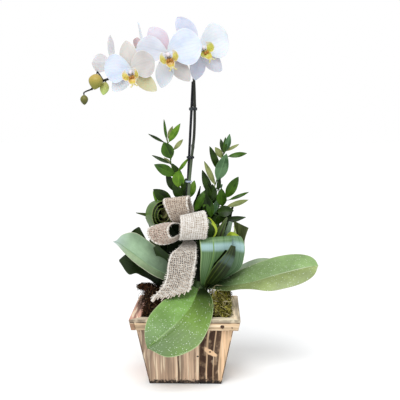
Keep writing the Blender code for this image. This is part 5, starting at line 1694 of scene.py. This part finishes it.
# Raised tufts of each clump: centre and half sizes.
TUFTS = {
    "left": (((-58, -30, 136), (9, 18, 15)), ((-70, -22, 149), (9, 9, 5)), ((-60, -60, 119), (7, 10, 9)),
             ((-46, -60, 116), (11, 10, 9)), ((-38, -30, 124), (13, 13, 12)), ((-52, 0, 134), (12, 16, 15)),
             ((-62, -8, 146), (8, 9, 6)), ((-57, -46, 128), (6, 8, 7))),
    "right": (((48, -50, 118), (14, 13, 12)), ((62, -56, 114), (11, 12, 11)), ((60, -28, 122), (13, 14, 12)),
              ((36, -36, 124), (12, 12, 12)), ((60, 4, 120), (13, 18, 12)),
              ((62, -4, 134), (11, 12, 8))),
}
MOSS_VOXEL = 1.7 * MM
# Below the first height the clump keeps its form, and above the second one strands start.
MOSS_FOOT = 99 * MM
MOSS_OPEN = 103 * MM
MOSS_COLOURS = {
    "dark": ((14, 10, 8), (32, 20, 13), (10, 8, 6)),
    "rust": ((52, 32, 20), (104, 62, 38), (40, 26, 18)),
    "brown": ((66, 48, 32), (30, 22, 14), (124, 98, 70)),
    "shade": ((40, 40, 16), (24, 22, 10), (66, 62, 26)),
    "olive": ((128, 124, 54), (92, 88, 36), (160, 150, 74)),
    "lime": ((186, 180, 62), (140, 138, 52), (222, 214, 110)),
    "straw": ((206, 192, 150), (176, 160, 118), (226, 214, 180)),
}


def moss_base(node, name, look, seed, shrunk):
    """The clump's own form, roughened all over. Returns points on its top and their normals."""
    base = remeshed(node, name)
    mesh = base.data
    points = np.zeros(len(mesh.vertices) * 3)
    normals = np.zeros(len(mesh.vertices) * 3)
    mesh.vertices.foreach_get("co", points)
    mesh.vertices.foreach_get("normal", normals)
    points, normals = points.reshape(-1, 3), normals.reshape(-1, 3)
    rough = bumps(points, 9 * MM, seed) * 1.6 * MM + bumps(points, 3.4 * MM, seed + 9) * 1.2 * MM
    open_side = np.clip((points[:, 2] - MOSS_FOOT) / (6 * MM), 0, 1)
    points = points + normals * ((rough - shrunk * MM) * open_side)[:, None]
    mesh.vertices.foreach_set("co", points.ravel())
    mesh.materials.clear()
    mesh.materials.append(look)
    mesh.shade_smooth()
    settle(base, [node])
    kept = (points[:, 2] > MOSS_OPEN) & (normals[:, 2] > -0.1)
    return points[kept], normals[kept]


def remeshed(node, name):
    """An even fine mesh of a CAD node, as a new piece."""
    base = bpy.data.objects.new(name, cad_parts[node].data.copy())
    bpy.context.scene.collection.objects.link(base)
    remesh = base.modifiers.new("Remesh", "REMESH")
    remesh.mode = "VOXEL"
    remesh.voxel_size = MOSS_VOXEL
    graph = bpy.context.evaluated_depsgraph_get()
    mesh = bpy.data.meshes.new_from_object(base.evaluated_get(graph))
    base.modifiers.clear()
    base.data = mesh
    return base


def add_strands(strands, points, normals, count, seed, length, looks, lift=0.5, radius=0.28):
    """Curly dry strands that start on the clump and creep over it."""
    draw = random.Random(seed)
    for _ in range(count):
        start = draw.randrange(len(points))
        place, normal = points[start], normals[start]
        heading = unit(np.cross(normal, [draw.gauss(0, 1) for _ in range(3)]))
        heading = unit(heading + normal * draw.uniform(0, lift))
        side = unit(np.cross(heading, normal))
        reach = draw.uniform(*length) * MM
        share = even(7)
        curl, phase = draw.uniform(0.08, 0.3), draw.uniform(0, 6)
        turns = draw.uniform(2, 7)
        path = (
            place
            + heading * (reach * share)[:, None]
            + side * (reach * curl * (np.sin(turns * share + phase) - math.sin(phase)))[:, None]
            + normal * (reach * (curl * np.sin(turns * 0.7 * share) - 0.25 * share**2))[:, None]
        )
        thick = draw.uniform(0.6, 1.3) * radius * MM
        strands.tube(path, thick * (1 - 0.5 * share), 3, draw.randrange(looks))


def add_tuft(strands, centre, radii, count, seed, looks, stray):
    """A dense ball of tangled strands: each one circles the middle of the tuft at its own depth."""
    draw = random.Random(seed)
    share = even(9)
    for _ in range(count):
        axis = unit([draw.gauss(0, 1) for _ in range(3)])
        start = unit(np.cross(axis, [draw.gauss(0, 1) for _ in range(3)]))
        angle = draw.uniform(1.2, 3.0) * share[:, None]
        swing = np.sin(draw.uniform(3, 9) * share + draw.uniform(0, 6))[:, None]
        depth = draw.uniform(0.45, 1.0) ** 0.7 + draw.uniform(0.04, stray) * swing
        ring = (start * np.cos(angle) + np.cross(axis, start) * np.sin(angle)) * depth
        strands.tube(mm(centre) + ring * mm(radii), draw.uniform(0.2, 0.45) * MM * (1 - 0.4 * share), 3,
                     draw.randrange(looks))


def build_moss():
    look = {name: strand_look(f"moss_{name}", *colours) for name, colours in MOSS_COLOURS.items()}
    points, normals = moss_base("moss_left", "moss_clump_left", look["dark"], 3.0, 3.4)
    strands = Shape("moss_strands_left")
    add_strands(strands, points, normals, 1100, 11, (10, 26), 3, 0.9, 0.42)
    for number, (centre, radii) in enumerate(TUFTS["left"]):
        add_tuft(strands, centre, radii, 210, 30 + number, 3, 0.5)
    strands.make([look["dark"], look["rust"], look["brown"]])
    points, normals = moss_base("moss_right", "moss_clump_right", look["shade"], 5.0, 0.6)
    strands = Shape("moss_strands_right")
    add_strands(strands, points, normals, 1500, 12, (8, 22), 4)
    for number, (centre, radii) in enumerate(TUFTS["right"]):
        add_tuft(strands, centre, radii, 230, 50 + number, 4, 0.4)
    strands.make([look["shade"], look["olive"], look["lime"], look["olive"]])
    pale = Shape("moss_strands_dry")
    add_strands(pale, points, normals, 140, 13, (14, 34), 1, 0.8, 0.35)
    pale.make([look["straw"]])


# Stage


def build_stage():
    build_floor()
    build_sky()
    add_light("sun", "SUN", SUN_LIGHT, SUN_FROM, SUN_COLOUR, angle=math.radians(SUN_WIDTH))
    add_light("softbox", "AREA", TOP_LIGHT, TOP_LIGHT_PLACE, TOP_LIGHT_COLOUR, size=TOP_LIGHT_SIZE)


def build_floor():
    look = Look("floor_paper", 0.9)
    mesh = bpy.data.meshes.new("floor")
    half = FLOOR_SIZE / 2
    corners = [(-half, -half, 0), (half, -half, 0), (half, half, 0), (-half, half, 0)]
    mesh.from_pydata(corners, [], [(0, 1, 2, 3)])
    mesh.materials.append(look.finish(look.mix(look.noise(3, 1), FLOOR_WHITE, PAPER_SHADE)))
    floor = bpy.data.objects.new("floor", mesh)
    bpy.context.scene.collection.objects.link(floor)


def build_sky():
    """Even white light from all round, behind which the camera sees pure white."""
    world = bpy.data.worlds.new("studio")
    bpy.context.scene.world = world
    world.use_nodes = True
    nodes, links = world.node_tree.nodes, world.node_tree.links
    shade = nodes["Background"]
    shade.inputs["Color"].default_value = SKY_COLOUR
    shade.inputs["Strength"].default_value = SKY_LIGHT
    white = nodes.new("ShaderNodeBackground")
    white.inputs["Color"].default_value = (1, 1, 1, 1)
    chooser = nodes.new("ShaderNodeMixShader")
    rays = nodes.new("ShaderNodeLightPath")
    links.new(rays.outputs["Is Camera Ray"], chooser.inputs[0])
    links.new(shade.outputs[0], chooser.inputs[1])
    links.new(white.outputs[0], chooser.inputs[2])
    links.new(chooser.outputs[0], nodes["World Output"].inputs["Surface"])


def add_light(name, kind, energy, place, colour, **facts):
    data = bpy.data.lights.new(name, kind)
    data.energy = energy
    data.color = colour
    for key, value in facts.items():
        setattr(data, key, value)
    light = bpy.data.objects.new(name, data)
    light.location = place
    target = Vector((0, 0, 0) if kind == "SUN" else TOP_LIGHT_AIM)
    light.rotation_euler = (Vector(place) - target).to_track_quat("Z", "Y").to_euler()
    bpy.context.scene.collection.objects.link(light)


def build_camera():
    """The camera that was fitted to ten corners of the planter in the photograph."""
    data = bpy.data.cameras.new("camera")
    data.lens = CAMERA_LENS
    camera = bpy.data.objects.new("camera", data)
    camera.location = CAMERA_PLACE
    camera.rotation_euler = (math.radians(90 - CAMERA_TILT), 0, math.radians(CAMERA_YAW))
    bpy.context.scene.collection.objects.link(camera)
    bpy.context.scene.camera = camera
    bpy.context.scene.view_settings.view_transform = "Standard"


build_camera()
build_stage()
dress_planter()
build_nails()
build_orchid_plant()
build_flowers()
build_stake_and_clips()
build_sprays()
build_ribbed_leaves()
build_loose_blades()
build_rolled_leaf()
build_bow()
build_moss()
